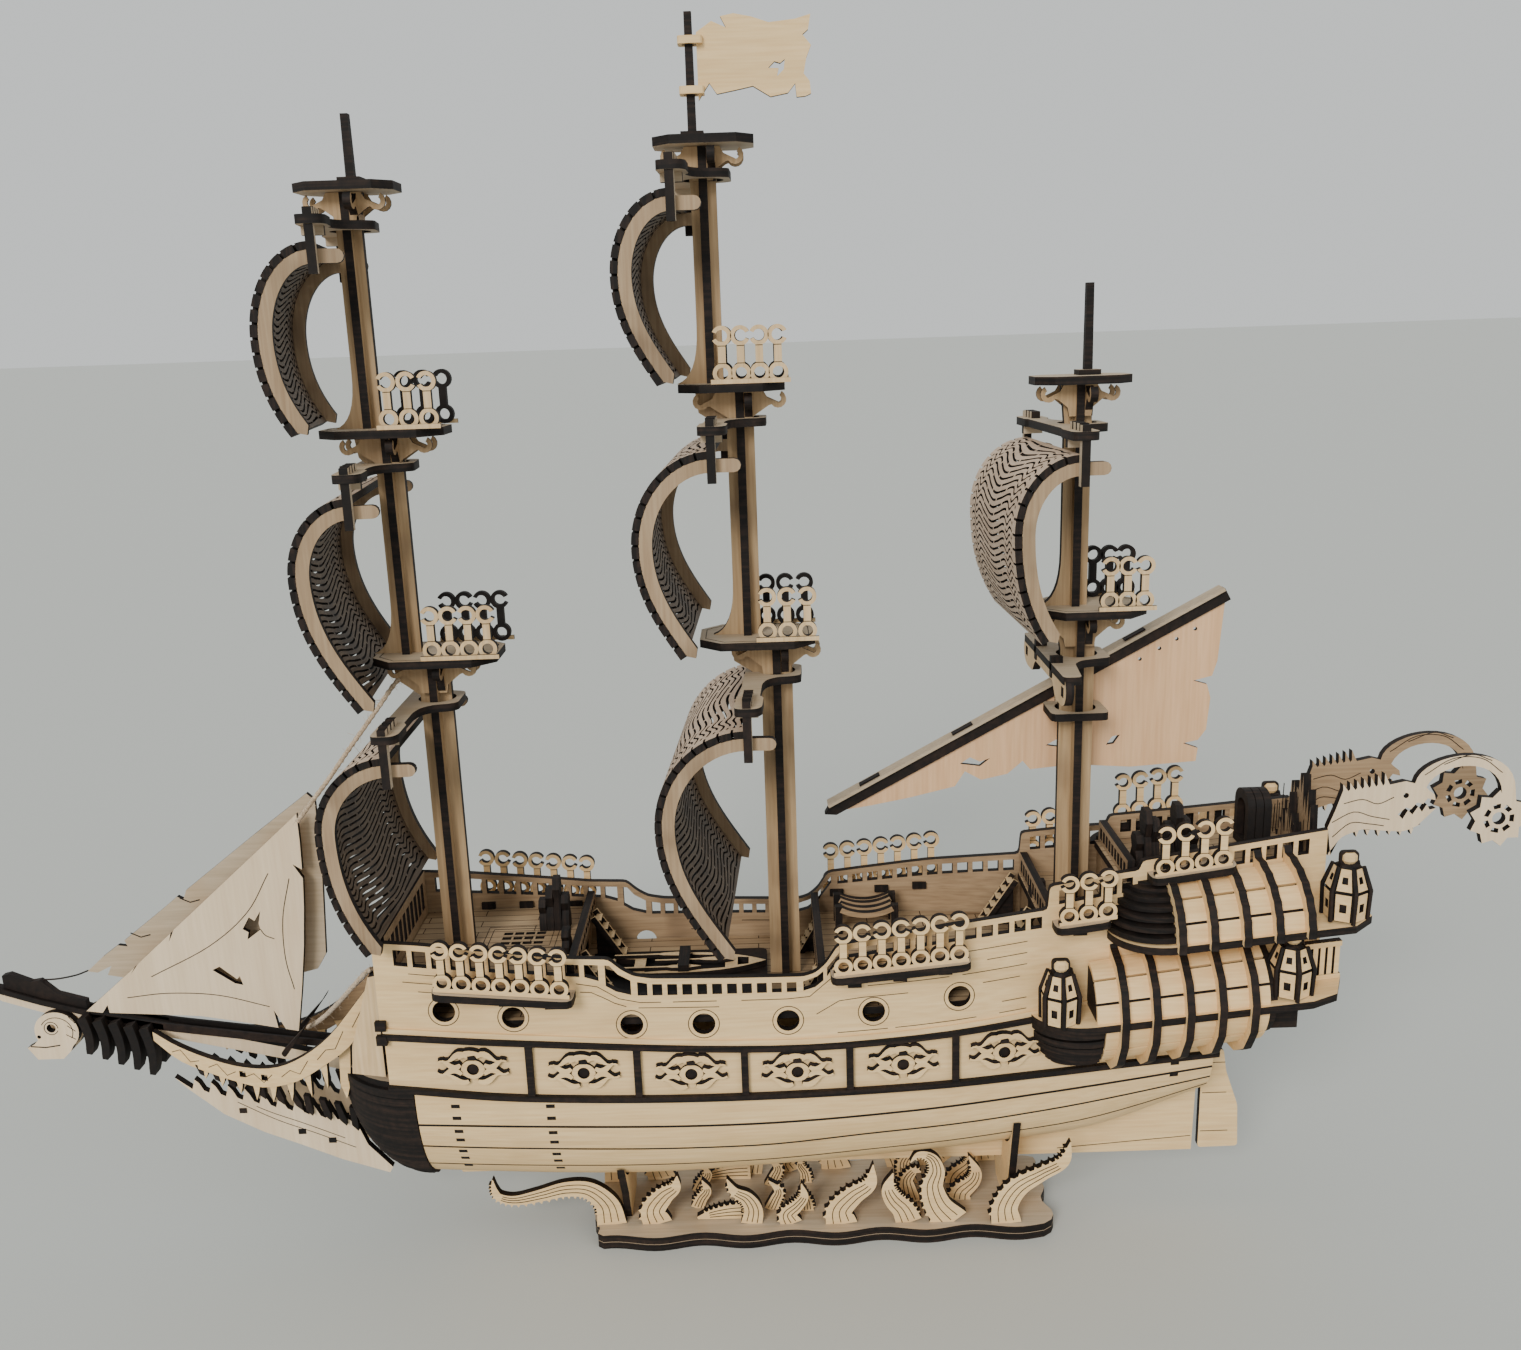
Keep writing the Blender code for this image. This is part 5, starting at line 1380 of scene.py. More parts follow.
def make_bow_nose():
    """Rounded nose of the hull: a stack of dark layers, each a little smaller than the next."""
    piece = Piece(CHAR_Z, CHAR_Z)
    count = 14
    levels = steps(31.0, 83.4, count)
    root = -157.5 - GAP
    for low, high in zip(levels, levels[1:]):
        z = (low + high) / 2
        share = (z - 30.0) / 54.0
        width = section_width(-157.5, min(z, lower_wale(-157.5) - 0.01)) + 0.4
        reach = 4.0 + 33.0 * math.sin(math.radians(90 * share**0.6))
        outline = arc((root, 0.0), (-reach, width), -90, 90, 26)
        piece.sheet(outline, on_xy, low + 0.32, high)
        core = arc((root, 0.0), (-(reach - 1.4), width - 1.4), -90, 90, 16)
        piece.sheet(core, on_xy, low - 0.1, low + 0.42)
    piece.make("bow_nose_layers", HULL, ["bow_block"])
    shelf = Piece(TOP_PLY, CHAR_Z)
    outline = [(-158.5, -35.0), (-158.5, 35.0)] + arc((-160.0, 0.0), (33.0, 34.5), 90, 270, 18)
    shelf.sheet(outline, on_xy, 83.6, 86.2)
    shelf.make("beakhead_floor", HULL)


def make_bowsprit():
    piece = Piece(JIB_PLY, CHAR_Y, SHADED_PLY)
    spine = [(-342.0, 118.5), (-331.0, 114.9), (-315.5, 109.4), (-296.2, 103.6), (-266.9, 96.6),
             (-234.2, 88.6), (-212.7, 83.2), (-195.4, 79.0)]
    under = [(x, z - 5.4) for x, z in reversed(spine)]
    under[-1] = (-341.0, 115.5)
    piece.sheet(spine + under, on_xz, -2.0, 2.0)
    boom = [(-330.0, 120.5), (-327.0, 121.2), (-318.7, 117.4), (-315.0, 118.0), (-309.0, 112.0),
            (-297.7, 108.4), (-297.7, 100.5), (-330.0, 110.5)]
    piece.sheet(boom, on_xz, -1.4, 1.4, face=1)
    for y in (-3.4, 2.2):
        lip = [(x, z + 1.0) for x, z in spine[1:5]] + [(x, z - 1.4) for x, z in reversed(spine[1:5])]
        piece.sheet(lip, on_xz, y, y + 1.2, face=1)
        keel = [(-296.0, 103.4), (-262.0, 97.2), (-230.0, 92.2), (-196.0, 87.0), (-196.0, 84.4),
                (-230.0, 89.0), (-262.0, 94.0), (-296.0, 100.6)]
        piece.sheet(keel, on_xz, y, y + 1.2, face=1)
    for k in range(5):
        x = -297.5 + 6.1 * k
        top = 103.5 - 1.35 * k
        length = 16.0 + 1.2 * k
        line = [(x + 1.9 * math.sin(t * 2.6), top - length * t) for t in steps(0.0, 1.0, 8)]
        rib = ribbon(line, [1.9, 1.9, 1.8, 1.8, 1.7, 1.7, 1.6, 1.5, 1.1])
        for y in (-7.6, 2.6):
            piece.sheet(rib, on_xz, y, y + 5.0, face=1)
        piece.sheet(rectangle(x - 1.1, x + 1.1, top - 3.0, top - 0.2), on_xz, -7.4, 7.4, face=1)
    thread = spline([(-319.0, 0.4, 117.6), (-310.0, 0.8, 117.3), (-302.0, 1.8, 118.2), (-297.0, 3.0, 119.6)],
                    5)
    piece.tube(thread, 0.35, 1, 6)
    piece.make("bowsprit_boards", HULL, ["bowsprit"])


def make_figurehead():
    """Plain round animal head: two discs with an eye, a nostril, a jaw and scored lines."""
    piece = Piece(JIB_PLY, CHAR_Y)
    centre = (-309.5, 97.0)
    outline = arc(centre, (9.0, 8.6), -50, 205, 22)
    outline += [(-319.5, 91.5), (-322.5, 90.0), (-319.0, 84.6), (-308.5, 84.6), (-305.0, 88.0)]
    eye = circle((-311.5, 98.5), 1.9, 14)
    nostril = circle((-317.0, 94.8), 0.8, 10)
    for low in (-2.0 - GAP - PLY, 2.0 + GAP):
        piece.sheet(outline, on_xz, low, low + PLY, [eye, nostril])
    face = -2.0 - GAP - PLY
    piece.score([(-321.0, 90.6), (-315.0, 90.0), (-309.0, 90.8)], on_xz, face, -SCORE, 0.5)
    piece.score(arc(centre, (6.6, 6.2), -30, 150, 14), on_xz, face, -SCORE, 0.3)
    piece.score(circle((-311.5, 98.5), 2.8, 16), on_xz, face, -SCORE, 0.3)
    for k in range(3):
        piece.score([(-303.8 - k, 103.5 - 4.0 * k), (-301.4 - 0.4 * k, 100.5 - 3.6 * k)], on_xz, face, -SCORE,
                    0.3)
    piece.sheet(rectangle(-316.0, -309.0, 86.0, 89.0), on_xz, -3.5, 3.5, face=1)
    piece.make("figurehead_discs", HULL, ["figurehead"])


def make_head_posts():
    """Boards between the head rails and the hull's flat front, and the knight heads above."""
    piece = Piece(RIB_PLY, CHAR_Y, SHADED_PLY)
    for side in SIDES:
        cheek = [(-168.8, 88.0), (-168.8, 131.0), (-171.5, 130.5), (-180.5, 101.0), (-181.5, 90.0)]
        piece.sheet(cheek, on_xz, *on_side(side, 30.2, 33.0))
        bar = [(-204.0, 101.0), (-203.0, 103.4), (-213.5, 88.0), (-215.5, 85.6), (-217.0, 87.6)]
        piece.sheet(rounded(bar, 1.2), on_xz, *on_side(side, 9.0, 12.0), face=1)
    back = [(-22.0, 88.5), (22.0, 88.5), (26.0, 118.0), (27.5, 131.0), (19.0, 129.0), (12.0, 121.0),
            (0.0, 117.5), (-12.0, 121.0), (-19.0, 129.0), (-27.5, 131.0), (-26.0, 118.0)]
    piece.sheet(back, on_yz, -172.6, -169.8, face=2)
    piece.make("head_boards", HULL)


# ---------------------------------------------------------------- stern

def make_stern_board():
    """Raised stern board, torn into tall splinters at its top."""
    piece = Piece(SHADED_PLY, CHAR_X, RIB_PLY)
    draw = random.Random(21)
    for layer, (x, low, spread, tallest) in enumerate(((192.0, 100.0, 16.4, 188.0),
                                                       (187.5, 149.5, 13.0, 178.0))):
        crest = []
        count = 12 if layer == 0 else 9
        for k in range(count + 1):
            y = spread - 2 * spread * k / count
            peak = tallest - 22.0 * abs(y / spread)**1.5 + draw.uniform(-4.0, 5.0)
            crest += [(y, peak - draw.uniform(7.0, 13.0)), (y - spread / count * 0.7, peak)]
        outline = [(-spread, low), (spread, low)] + [(y, z) for y, z in crest if abs(y) <= spread]
        piece.sheet(outline, on_yz, x, x + PLY, face=0)
        for k in range(9):
            y = -spread + 2 * spread * (k + 0.6) / 9
            foot = 164.0 + draw.uniform(-6.0, 4.0)
            piece.score([(y, foot), (y + draw.uniform(-0.8, 0.8), foot + draw.uniform(7.0, 14.0))], on_yz, x,
                        -SCORE, 0.6)
    piece.make("stern_board_splintered", HULL, ["transom"])


def make_serpent(side):
    """Flat sea-serpent bracket with a curled horn, a notched disc, teeth and scored lines."""
    piece = Piece(JIB_PLY, CHAR_Y, SHADED_PLY)
    neck_low = [(197.5, 160.0), (203.0, 168.0), (210.8, 171.0), (219.0, 170.0), (227.0, 169.3),
                (234.0, 172.5)]
    jaw = [(238.5, 178.5), (236.0, 178.0), (234.8, 180.2), (233.2, 177.2), (231.6, 179.4), (229.6, 176.2),
           (227.8, 178.0), (226.0, 174.5), (224.0, 176.5), (227.0, 179.2), (229.0, 178.4), (231.0, 181.0),
           (233.4, 180.4), (235.0, 182.6), (238.0, 181.8)]
    brow = [(237.5, 184.0), (235.0, 186.0)]
    disc = (263.0, 173.5)
    horn_out = bezier((229.6, 188.8), (231.0, 201.5), (267.0, 206.0), (268.3, 184.5), 16)
    horn_in = bezier((263.2, 183.5), (262.0, 199.0), (238.0, 198.0), (234.0, 187.0), 14)
    notched = []
    for i in range(18):
        angle = math.radians(58 - 360 * (i + 0.5) / 18 * 0.93)
        radius = 11.5 if i % 2 else 9.0
        notched.append((disc[0] + radius * math.cos(angle), disc[1] + radius * math.sin(angle)))
    back = [(226.0, 189.8), (222.0, 189.0)]
    for k in range(7):
        x = 220.0 - 2.6 * k
        z = 188.6 - 0.35 * k
        back += [(x, z), (x - 2.2, z + 4.6 - 0.3 * k), (x - 2.0, z + 0.4)]
    back += [(200.0, 179.0), (197.5, 172.0)]
    outline = rounded(neck_low, 2.0, 2) + jaw + brow + list(reversed(horn_in)) + list(reversed(notched))
    outline += list(reversed(horn_out)) + back
    hub = circle(disc, 2.6, 14)
    spokes = []
    for k in range(7):
        a = 2 * math.pi * k / 7
        spokes.append([(disc[0] + r * math.cos(a + d), disc[1] + r * math.sin(a + d))
                       for r, d in ((4.2, -0.3), (6.0, -0.26), (6.0, 0.26), (4.2, 0.3))])
    face = side * 13.0
    low, high = sorted((face, side * (13.0 + PLY)))
    # The face turned towards the middle gets the darkened finish, which is painted shade.
    piece.sheet(outline, on_xz, low, high, [hub] + spokes + [circle((226.6, 184.0), 1.1, 10)],
                face=0 if side < 0 else 2, back=2 if side < 0 else 0)
    for line in (spline([(199.0, 174.0), (207.0, 178.0), (214.0, 176.0), (221.0, 174.5)], 4),
                 spline([(199.5, 168.0), (206.0, 173.5), (213.0, 173.0), (219.0, 172.0)], 4),
                 spline([(203.0, 181.5), (210.0, 183.0), (216.0, 181.0), (222.0, 183.5)], 4),
                 spline([(233.0, 192.0), (243.0, 198.2), (254.0, 198.0), (262.5, 192.0)], 5),
                 spline([(240.0, 196.0), (250.0, 199.6), (258.0, 197.0)], 5)):
        piece.score(line, on_xz, low, -SCORE, 0.32)
    for k in range(6):
        x = 208.0 + 4.2 * k
        tooth = [(x, 170.6), (x + 0.9, 167.6 + 0.4 * (k % 2)), (x + 1.7, 170.4)]
        piece.sheet(tooth, on_xz, low + 0.3, high - 0.3, face=0)
    piece.make(f"serpent_{NAMES[side]}", HULL, [f"stern_serpent_{NAMES[side]}"])


# ---------------------------------------------------------------- flat sails and flag

def make_outer_jib():
    """Nearer triangular sail: torn hem, two rents and the scored lines of its seams."""
    piece = Piece(JIB_PLY, CHAR_Y)
    low = -2.0 - GAP - THIN
    foot = [(-296.5, 105.2), (-290.0, 104.2), (-287.6, 107.6), (-287.2, 104.1), (-275.0, 103.2),
            (-266.0, 102.6), (-250.5, 101.4), (-236.0, 98.6), (-222.3, 95.6), (-219.6, 95.0), (-220.6, 103.0),
            (-218.0, 97.6), (-216.6, 94.4), (-211.5, 93.3)]
    leech = [(-208.0, 112.0), (-205.0, 131.0), (-203.0, 148.0), (-202.0, 160.0), (-205.4, 166.0),
             (-201.9, 163.6), (-201.4, 176.0), (-201.4, 187.0)]
    luff = [(-214.0, 176.0), (-232.0, 160.5), (-247.0, 147.5), (-256.0, 139.8), (-258.8, 134.4),
            (-257.6, 138.2), (-266.0, 131.0), (-272.0, 125.8), (-276.2, 120.8), (-274.0, 124.0),
            (-284.0, 115.6)]
    rents = [[(-225.5, 144.0), (-228.6, 139.0), (-226.4, 137.6), (-227.2, 134.4), (-221.4, 138.6),
              (-221.9, 141.2), (-220.6, 146.6), (-223.4, 142.4)],
             [(-243.0, 121.6), (-240.0, 123.0), (-233.6, 117.2), (-232.4, 118.6), (-231.4, 114.6),
              (-234.6, 115.4)]]
    outline = foot + leech + luff
    piece.sheet(outline, on_xz, low, -2.0 - GAP, rents)
    for points in ([(-215.5, 162.5), (-226.0, 146.0), (-243.0, 132.0), (-268.0, 119.5)],
                   [(-207.5, 160.0), (-212.0, 143.0), (-213.0, 126.0), (-211.0, 112.0)],
                   [(-279.0, 110.6), (-262.0, 112.0), (-242.0, 110.4), (-222.0, 104.6)],
                   [(-221.4, 138.6), (-219.8, 136.0), (-216.4, 134.4)]):
        piece.score(spline(points, 6), on_xz, low, -SCORE, 0.34)
    piece.make("outer_jib_board", HULL, ["outer_jib"])


def make_inner_jib():
    piece = Piece(TOP_PLY, CHAR_Y)
    outline = [(-297.0, 119.5), (-293.0, 118.8), (-287.0, 121.6), (-289.0, 117.6), (-262.0, 112.0),
               (-225.0, 112.0), (-203.0, 117.5), (-199.0, 124.0), (-196.5, 160.0), (-196.0, 190.0),
               (-199.0, 193.0), (-203.0, 190.0), (-222.0, 176.2), (-252.0, 153.6), (-253.6, 149.6),
               (-256.0, 151.0), (-262.0, 146.2), (-280.0, 132.6), (-279.0, 130.0), (-283.0, 130.6),
               (-290.0, 125.6)]
    low = 2.0 + GAP
    piece.sheet(outline, on_xz, low, low + THIN)
    for x, z in ((-272.0, 135.5), (-250.0, 150.0)):
        piece.score([(x - 5.0, z + 0.4), (x - 1.0, z - 1.6), (x + 3.0, z - 0.6)], on_xz, low, -SCORE, 0.5)
    piece.make("inner_jib_board", HULL, ["inner_jib"])


LATEEN_Y = 8.6
LATEEN_LOW = Vector((5.7, 174.8))
LATEEN_HIGH = Vector((163.0, 259.7))


def make_lateen():
    """Slanting yard with its flat torn sail, and the collar that swings round the mast."""
    pivot = pivot_of("lateen")
    along = (LATEEN_HIGH - LATEEN_LOW).normalized()
    across = Vector((-along.y, along.x)) * 3.2
    yard = Piece(TOP_PLY, CHAR_Y)
    outline = [tuple(LATEEN_LOW), tuple(LATEEN_LOW + along * 4 - across * 0.8),
               tuple(LATEEN_HIGH - across * 0.8), tuple(LATEEN_HIGH + across * 0.8),
               tuple(LATEEN_LOW + along * 4 + across * 0.8)]
    yard.sheet(outline, on_xz, LATEEN_Y, LATEEN_Y + 4.0, face=1)
    cap = [tuple(LATEEN_LOW + along * 3 + across * 0.62), tuple(LATEEN_HIGH - along * 0.5 + across * 0.62),
           tuple(LATEEN_HIGH - along * 0.5 + across * 1.0), tuple(LATEEN_LOW + along * 3 + across * 1.0)]
    yard.sheet(cap, on_xz, LATEEN_Y - 1.6, LATEEN_Y + 5.6, edge=0)
    for d in (18.0, 60.0, 108.0, 136.0):
        tab = [tuple(LATEEN_LOW + along * (d + e) + across * h)
               for e, h in ((0, 0.95), (9, 0.95), (9, 1.22), (0, 1.22))]
        yard.sheet(tab, on_xz, LATEEN_Y - 0.2, LATEEN_Y + 3.0, face=1)
    collar = rounded([(pivot.x - 11.0, -10.0), (pivot.x + 11.0, -10.0), (pivot.x + 11.0, LATEEN_Y + 0.4),
                      (pivot.x - 11.0, LATEEN_Y + 0.4)], 3.0)
    yard.sheet(collar, on_xy, 216.0, 219.0, [circle((pivot.x, 0.0), 7.8, 24)])
    hanger = rectangle(pivot.x - 6.0, pivot.x + 6.0, 218.0, 227.0)
    yard.sheet(hanger, on_xz, LATEEN_Y - 0.9, LATEEN_Y + 0.2)
    yard.make("lateen_yard_board", "lateen", ["lateen_yard"])
    cloth = Piece(LATEEN_PLY, CHAR_Y)
    upper = [tuple(LATEEN_LOW + along * d - across * 0.85) for d in (8.0, 176.5)]
    leech = [(161.5, 245.0), (160.6, 233.0), (158.8, 227.0), (151.5, 225.2), (157.0, 223.6), (158.6, 218.0),
             (157.5, 205.0), (154.5, 200.8), (148.6, 199.6), (154.6, 197.4), (154.0, 192.0)]
    hem = [(128.0, 190.5), (111.0, 191.8), (108.0, 197.4), (104.5, 192.2), (88.0, 190.8), (85.0, 194.4),
           (79.0, 189.2), (68.5, 187.0), (62.0, 190.8), (58.0, 184.6), (40.0, 180.5), (24.0, 177.6)]
    rents = [[(94.0, 200.6), (98.5, 203.0), (101.0, 201.0), (104.0, 203.4), (101.5, 199.4)],
             [(60.0, 194.0), (64.0, 196.6), (68.0, 194.6), (72.0, 196.0), (68.0, 192.8)],
             [(118.0, 200.0), (120.4, 203.4), (123.4, 204.0), (121.0, 200.4)]]
    holes = [circle(tuple(LATEEN_LOW + along * d - across * 2.0), 0.8, 8)
             for d in (138.0, 146.5, 154.0, 162.0)]
    cloth.sheet(upper + leech + hem, on_xz, LATEEN_Y + 1.0, LATEEN_Y + 1.0 + THIN, rents + holes)
    cloth.make("lateen_sail_board", "lateen", ["lateen_sail"])


def make_crossjack():
    """Cross yard of the mizzen: a flat board over an upright one with square-holed ends."""
    pivot = pivot_of("crossjack")
    piece = Piece(TOP_PLY, CHAR_Z, CHAR_X, RIB_PLY)
    x, z = pivot.x, pivot.z
    reach = [(11.0, 9.0), (5.0, 10.6), (-1.0, 12.5), (-4.4, 17.0), (-6.5, 37.0), (-13.0, 37.0)]
    outline = [(x + u, v) for u, v in reach] + [(x + u, -v) for u, v in reversed(reach)]
    piece.sheet(rounded(outline, 2.2), on_xy, z, z + PLY, [circle((x, 0.0), 7.8, 24)])
    reach = [(16.0, -3.6), (21.0, -9.0), (31.0, -9.0), (34.5, -8.2), (37.6, -6.0), (38.6, -2.0), (37.0, 1.4),
             (33.5, 2.8)]
    board = mirrored([(u, z + v) for u, v in reach])
    holes = [rectangle(y - 2.0, y + 2.0, z - 5.4, z - 1.6) for y in (-32.5, 32.5)]
    piece.sheet(rounded(board, 2.0), on_yz, x - 12.5, x - 9.5, holes, face=3, edge=2)
    for y in (-14.0, 14.0):
        piece.sheet(rectangle(x - 13.0, x - 8.6, z - 2.6, z + 5.4), on_xz, y - 1.5, y + 1.5, face=2, edge=1)
    piece.make("crossjack_boards", "crossjack", ["crossjack_yard"])


def make_flag():
    piece = Piece(SIDE_PLY, CHAR_Y)
    outline = [(-32.9, 441.5), (-29.0, 447.0), (-26.5, 443.4), (-20.0, 444.5), (-14.0, 445.6), (-8.0, 442.0),
               (-2.0, 443.0), (0.6, 446.0), (1.0, 441.6), (4.0, 441.8), (6.0, 442.6), (5.6, 446.6),
               (3.6, 449.0), (4.6, 454.0), (6.3, 458.0), (3.4, 461.4), (5.4, 463.0), (6.3, 467.8),
               (1.0, 466.4), (-8.0, 465.6), (-14.0, 467.6), (-20.0, 468.8), (-24.5, 468.0), (-22.6, 464.4),
               (-27.6, 466.6), (-32.9, 463.2)]
    rent = [(-6.4, 453.2), (-8.6, 451.2), (-5.0, 451.0), (-5.6, 448.4), (-3.2, 450.6), (-2.8, 453.8),
            (-4.4, 452.6)]
    piece.sheet(outline, on_xz, -THIN / 2, THIN / 2, [rent])
    pole = pivot_of("flag")
    for z in (443.5, 459.5):
        clip = rounded(rectangle(pole.x - 3.8, pole.x + 4.8, -3.4, 3.4), 1.4)
        piece.sheet(clip, on_xy, z, z + 2.5, [circle((pole.x, 0.0), 2.45, 14)], edge=0)
    piece.make("flag_board", "flag", ["flag"])


# ---------------------------------------------------------------- stand

def tentacle(piece, knots, hand, y, towards):
    """Flat arm cut from one sheet through (x, z, half width) knots, with saw-edged suckers on one hand."""
    line = spline(knots, 7)
    widths = [max(width, 0.2) for _, _, width in line]
    flat = [(x, z) for x, z, _ in line]
    count = len(flat)
    outline = ribbon(flat, widths)
    sides = {1: outline[:count], -1: outline[count:]}
    saw = []
    for i, (u, v) in enumerate(sides[hand]):
        saw.append((u, v))
        if i % 2 == 0 and 3 <= i < count - 3:
            du = sides[hand][i + 1][0] - u
            dv = sides[hand][i + 1][1] - v
            length = math.hypot(du, dv)
            saw.append((u + du * 0.5 - dv / length * 1.2, v + dv * 0.5 + du / length * 1.2))
    sides[hand] = saw
    low, high = sorted((y, y - towards * PLY))
    piece.sheet(sides[1] + sides[-1], on_xz, low, high)
    for share in (-0.5, 0.0, 0.5):
        mark = []
        for i in range(1, count * 3 // 4):
            du = flat[i + 1][0] - flat[i - 1][0]
            dv = flat[i + 1][1] - flat[i - 1][1]
            length = math.hypot(du, dv)
            mark.append((flat[i][0] - dv / length * widths[i] * share,
                         flat[i][1] + du / length * widths[i] * share))
        piece.score(mark, on_xz, low, -SCORE, 0.34)


# (side of the suckers, distance from the middle, (x, height above the base, half width) along the arm)
EDGE_ARMS = [
    (1, 16.0, [(-87.5, 0, 6.2), (-89.0, 9.5, 5.0), (-96.0, 16.5, 4.0), (-105.5, 17.5, 3.4),
               (-116.0, 15.0, 2.8), (-126.5, 13.0, 2.2), (-133.0, 14.5, 1.8), (-135.0, 18.0, 1.3),
               (-135.5, 23.0, 0.2)]),
    (1, 16.5, [(-68.5, 0, 6.2), (-70.0, 6.5, 5.0), (-65.5, 13.0, 4.0), (-60.5, 17.0, 2.4),
               (-59.5, 22.5, 0.2)]),
    (1, 18.3, [(-29.5, 0, 4.4), (-28.5, 6.5, 3.8), (-31.0, 12.0, 3.0), (-36.0, 15.5, 2.0),
               (-39.0, 21.5, 0.2)]),
    (-1, 15.0, [(-30.0, 3.8, 3.6), (-38.5, 3.6, 3.2), (-46.0, 2.6, 2.2), (-52.0, 1.2, 0.6)]),
    (1, 19.2, [(-13.0, 0, 4.6), (-14.5, 4.5, 3.4), (-10.5, 8.5, 2.6), (-7.5, 13.0, 1.8), (-8.5, 19.0, 0.2)]),
    (1, 20.2, [(7.5, 0, 6.6), (7.0, 6.5, 5.2), (12.5, 13.0, 4.2), (19.5, 18.5, 2.8), (21.0, 27.5, 0.2)]),
    (-1, 20.5, [(35.5, 0, 5.4), (33.0, 6.0, 4.6), (29.0, 11.0, 3.8), (27.0, 16.5, 2.6), (29.0, 23.5, 0.2)]),
    (1, 21.0, [(53.5, 0, 7.0), (47.5, 7.5, 5.6), (45.0, 16.5, 4.4), (46.8, 24.0, 3.2), (44.8, 30.0, 2.2),
               (39.5, 32.0, 1.3), (36.0, 28.5, 0.2)]),
    (1, 23.0, [(75.0, 0, 6.2), (74.5, 8.0, 5.2), (79.5, 16.5, 4.4), (89.0, 22.5, 3.2), (98.0, 28.0, 2.4),
               (100.5, 37.0, 0.2)]),
]
MIDDLE_ARMS = [
    (1, 7.0, [(-52.5, 0, 2.8), (-50.5, 4.5, 2.4), (-48.0, 8.5, 1.8), (-50.0, 13.5, 0.2)]),
    (-1, 9.5, [(-21.5, 0, 2.8), (-19.5, 4.5, 2.4), (-18.0, 9.0, 1.8), (-22.0, 14.0, 0.2)]),
    (-1, 11.0, [(-6.0, 0, 2.6), (-6.5, 5.0, 2.0), (-8.5, 9.0, 1.3), (-7.0, 13.5, 0.2)]),
    (1, 7.5, [(38.0, 0, 4.0), (36.5, 6.0, 3.4), (36.0, 11.0, 2.6), (39.0, 15.0, 1.7), (42.0, 14.5, 0.2)]),
    (1, 7.0, [(58.0, 0, 4.8), (59.0, 4.0, 4.2), (64.0, 9.0, 3.0), (65.0, 14.0, 2.0), (62.0, 21.0, 0.2)]),
]


def make_stand():
    """Two wavy layers, rows of curling arms and the cradles; then the keel and the rudder."""
    piece = Piece(TOP_PLY, CHAR_Z)
    low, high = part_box("stand_base")
    half_length = (high.x - low.x) / MM / 2
    half_depth = (high.y - low.y) / MM / 2

    def outline(inset):
        def wave(x, phase):
            return half_depth - 1.3 + 1.3 * math.sin(0.17 * x + phase) - inset

        def ends(hand, y):
            return hand * (half_length - 1.6 - inset + 1.6 * math.sin(0.35 * y + 1.2 * hand))
        line = [(x, -wave(x, 0.6)) for x in steps(-half_length + 5, half_length - 5, 60)]
        line += [(ends(1, y), y) for y in steps(-half_depth + 4, half_depth - 4, 14)]
        line += [(x, wave(x, 2.2)) for x in steps(half_length - 5, -half_length + 5, 60)]
        line += [(ends(-1, y), y) for y in steps(half_depth - 4, -half_depth + 4, 14)]
        return line
    piece.sheet(outline(0.0), on_xy, 0.0, 2.95)
    piece.sheet(outline(0.25), on_xy, 2.9, 3.25, edge=0)
    piece.sheet(outline(0.0), on_xy, 3.2, BASE_TOP)
    piece.make("base_layers", HULL, ["stand_base"])
    arms = Piece(SIDE_PLY, CHAR_Y, SHADED_PLY)
    for side in SIDES:
        for hand, distance, knots in EDGE_ARMS + MIDDLE_ARMS:
            raised = [(x, BASE_TOP - 0.2 + height, width) for x, height, width in knots]
            tentacle(arms, raised, hand, side * distance, side)
    arms.make("base_arms", HULL)
    for node in ("cradle_front", "cradle_aft"):
        bottom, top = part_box(node)
        x0, x1 = bottom.x / MM, top.x / MM
        x = (x0 + x1) / 2
        posts = Piece(SIDE_PLY, CHAR_Y)
        hull_y = steps(27.0, 3.0, 16)

        def skin(y, x=x):
            low_point = hull_bottom(x)
            share = min(abs(y) / half_beam(x), 1.0)
            return lower_wale(x) - (lower_wale(x) - low_point) * (1.0 - share * share)**(1 / HULL_CURVE)
        shape = [(11.0, BASE_TOP + 0.05), (14.5, 14.0), (17.0, 22.0)]
        shape += [(y, max(skin(y) - 1.2, BASE_TOP + 4.0)) for y in hull_y[:-1]] + [(2.0, 23.2)]
        posts.sheet(mirrored(shape), on_yz, x0, x1)
        posts.make(f"{node}_board", HULL, [node])
    keel = Piece(SIDE_PLY, CHAR_Z)
    upper = [(x, hull_bottom(x) + 9.0) for x in steps(150.0, -150.0, 30)]
    keel.sheet([(-157.0, 33.0), (-151.0, 23.5), (156.5, 23.5), (157.5, 72.0), (150.0, 72.0)] + upper, on_xz,
               -1.5, 1.5)
    keel.score([(100.0, 26.0), (156.0, 30.0)], on_xz, -1.5, -SCORE, 0.3)
    keel.make("keel_board", HULL, ["keel"])
    blade = Piece(SIDE_PLY, CHAR_Y)
    shape = [(159.2, 24.3), (176.0, 24.5), (175.0, 44.0), (169.5, 60.0), (168.0, 70.0), (159.2, 70.0)]
    blade.sheet(rounded(shape, 1.5), on_xz, -1.5, 1.5)
    for z in (32.0, 50.0, 64.0):
        mark = [(160.0, z), (171.5 - 0.08 * (z - 32.0), z)]
        for side in SIDES:
            blade.score(mark, on_xz, side * PLY / 2, side * SCORE, 0.3)
    blade.make("rudder_blade", "rudder", ["rudder"])


# ---------------------------------------------------------------- decks and their fittings

FORE_BREAK = -94.0
QUARTER_BREAK = 1.0
MIZZEN_BREAK = 87.0
POOP_BREAK = 118.0
POOP_SLOPE = 0.08
HATCH_Y = 4.0                # the hatch stands a little to starboard


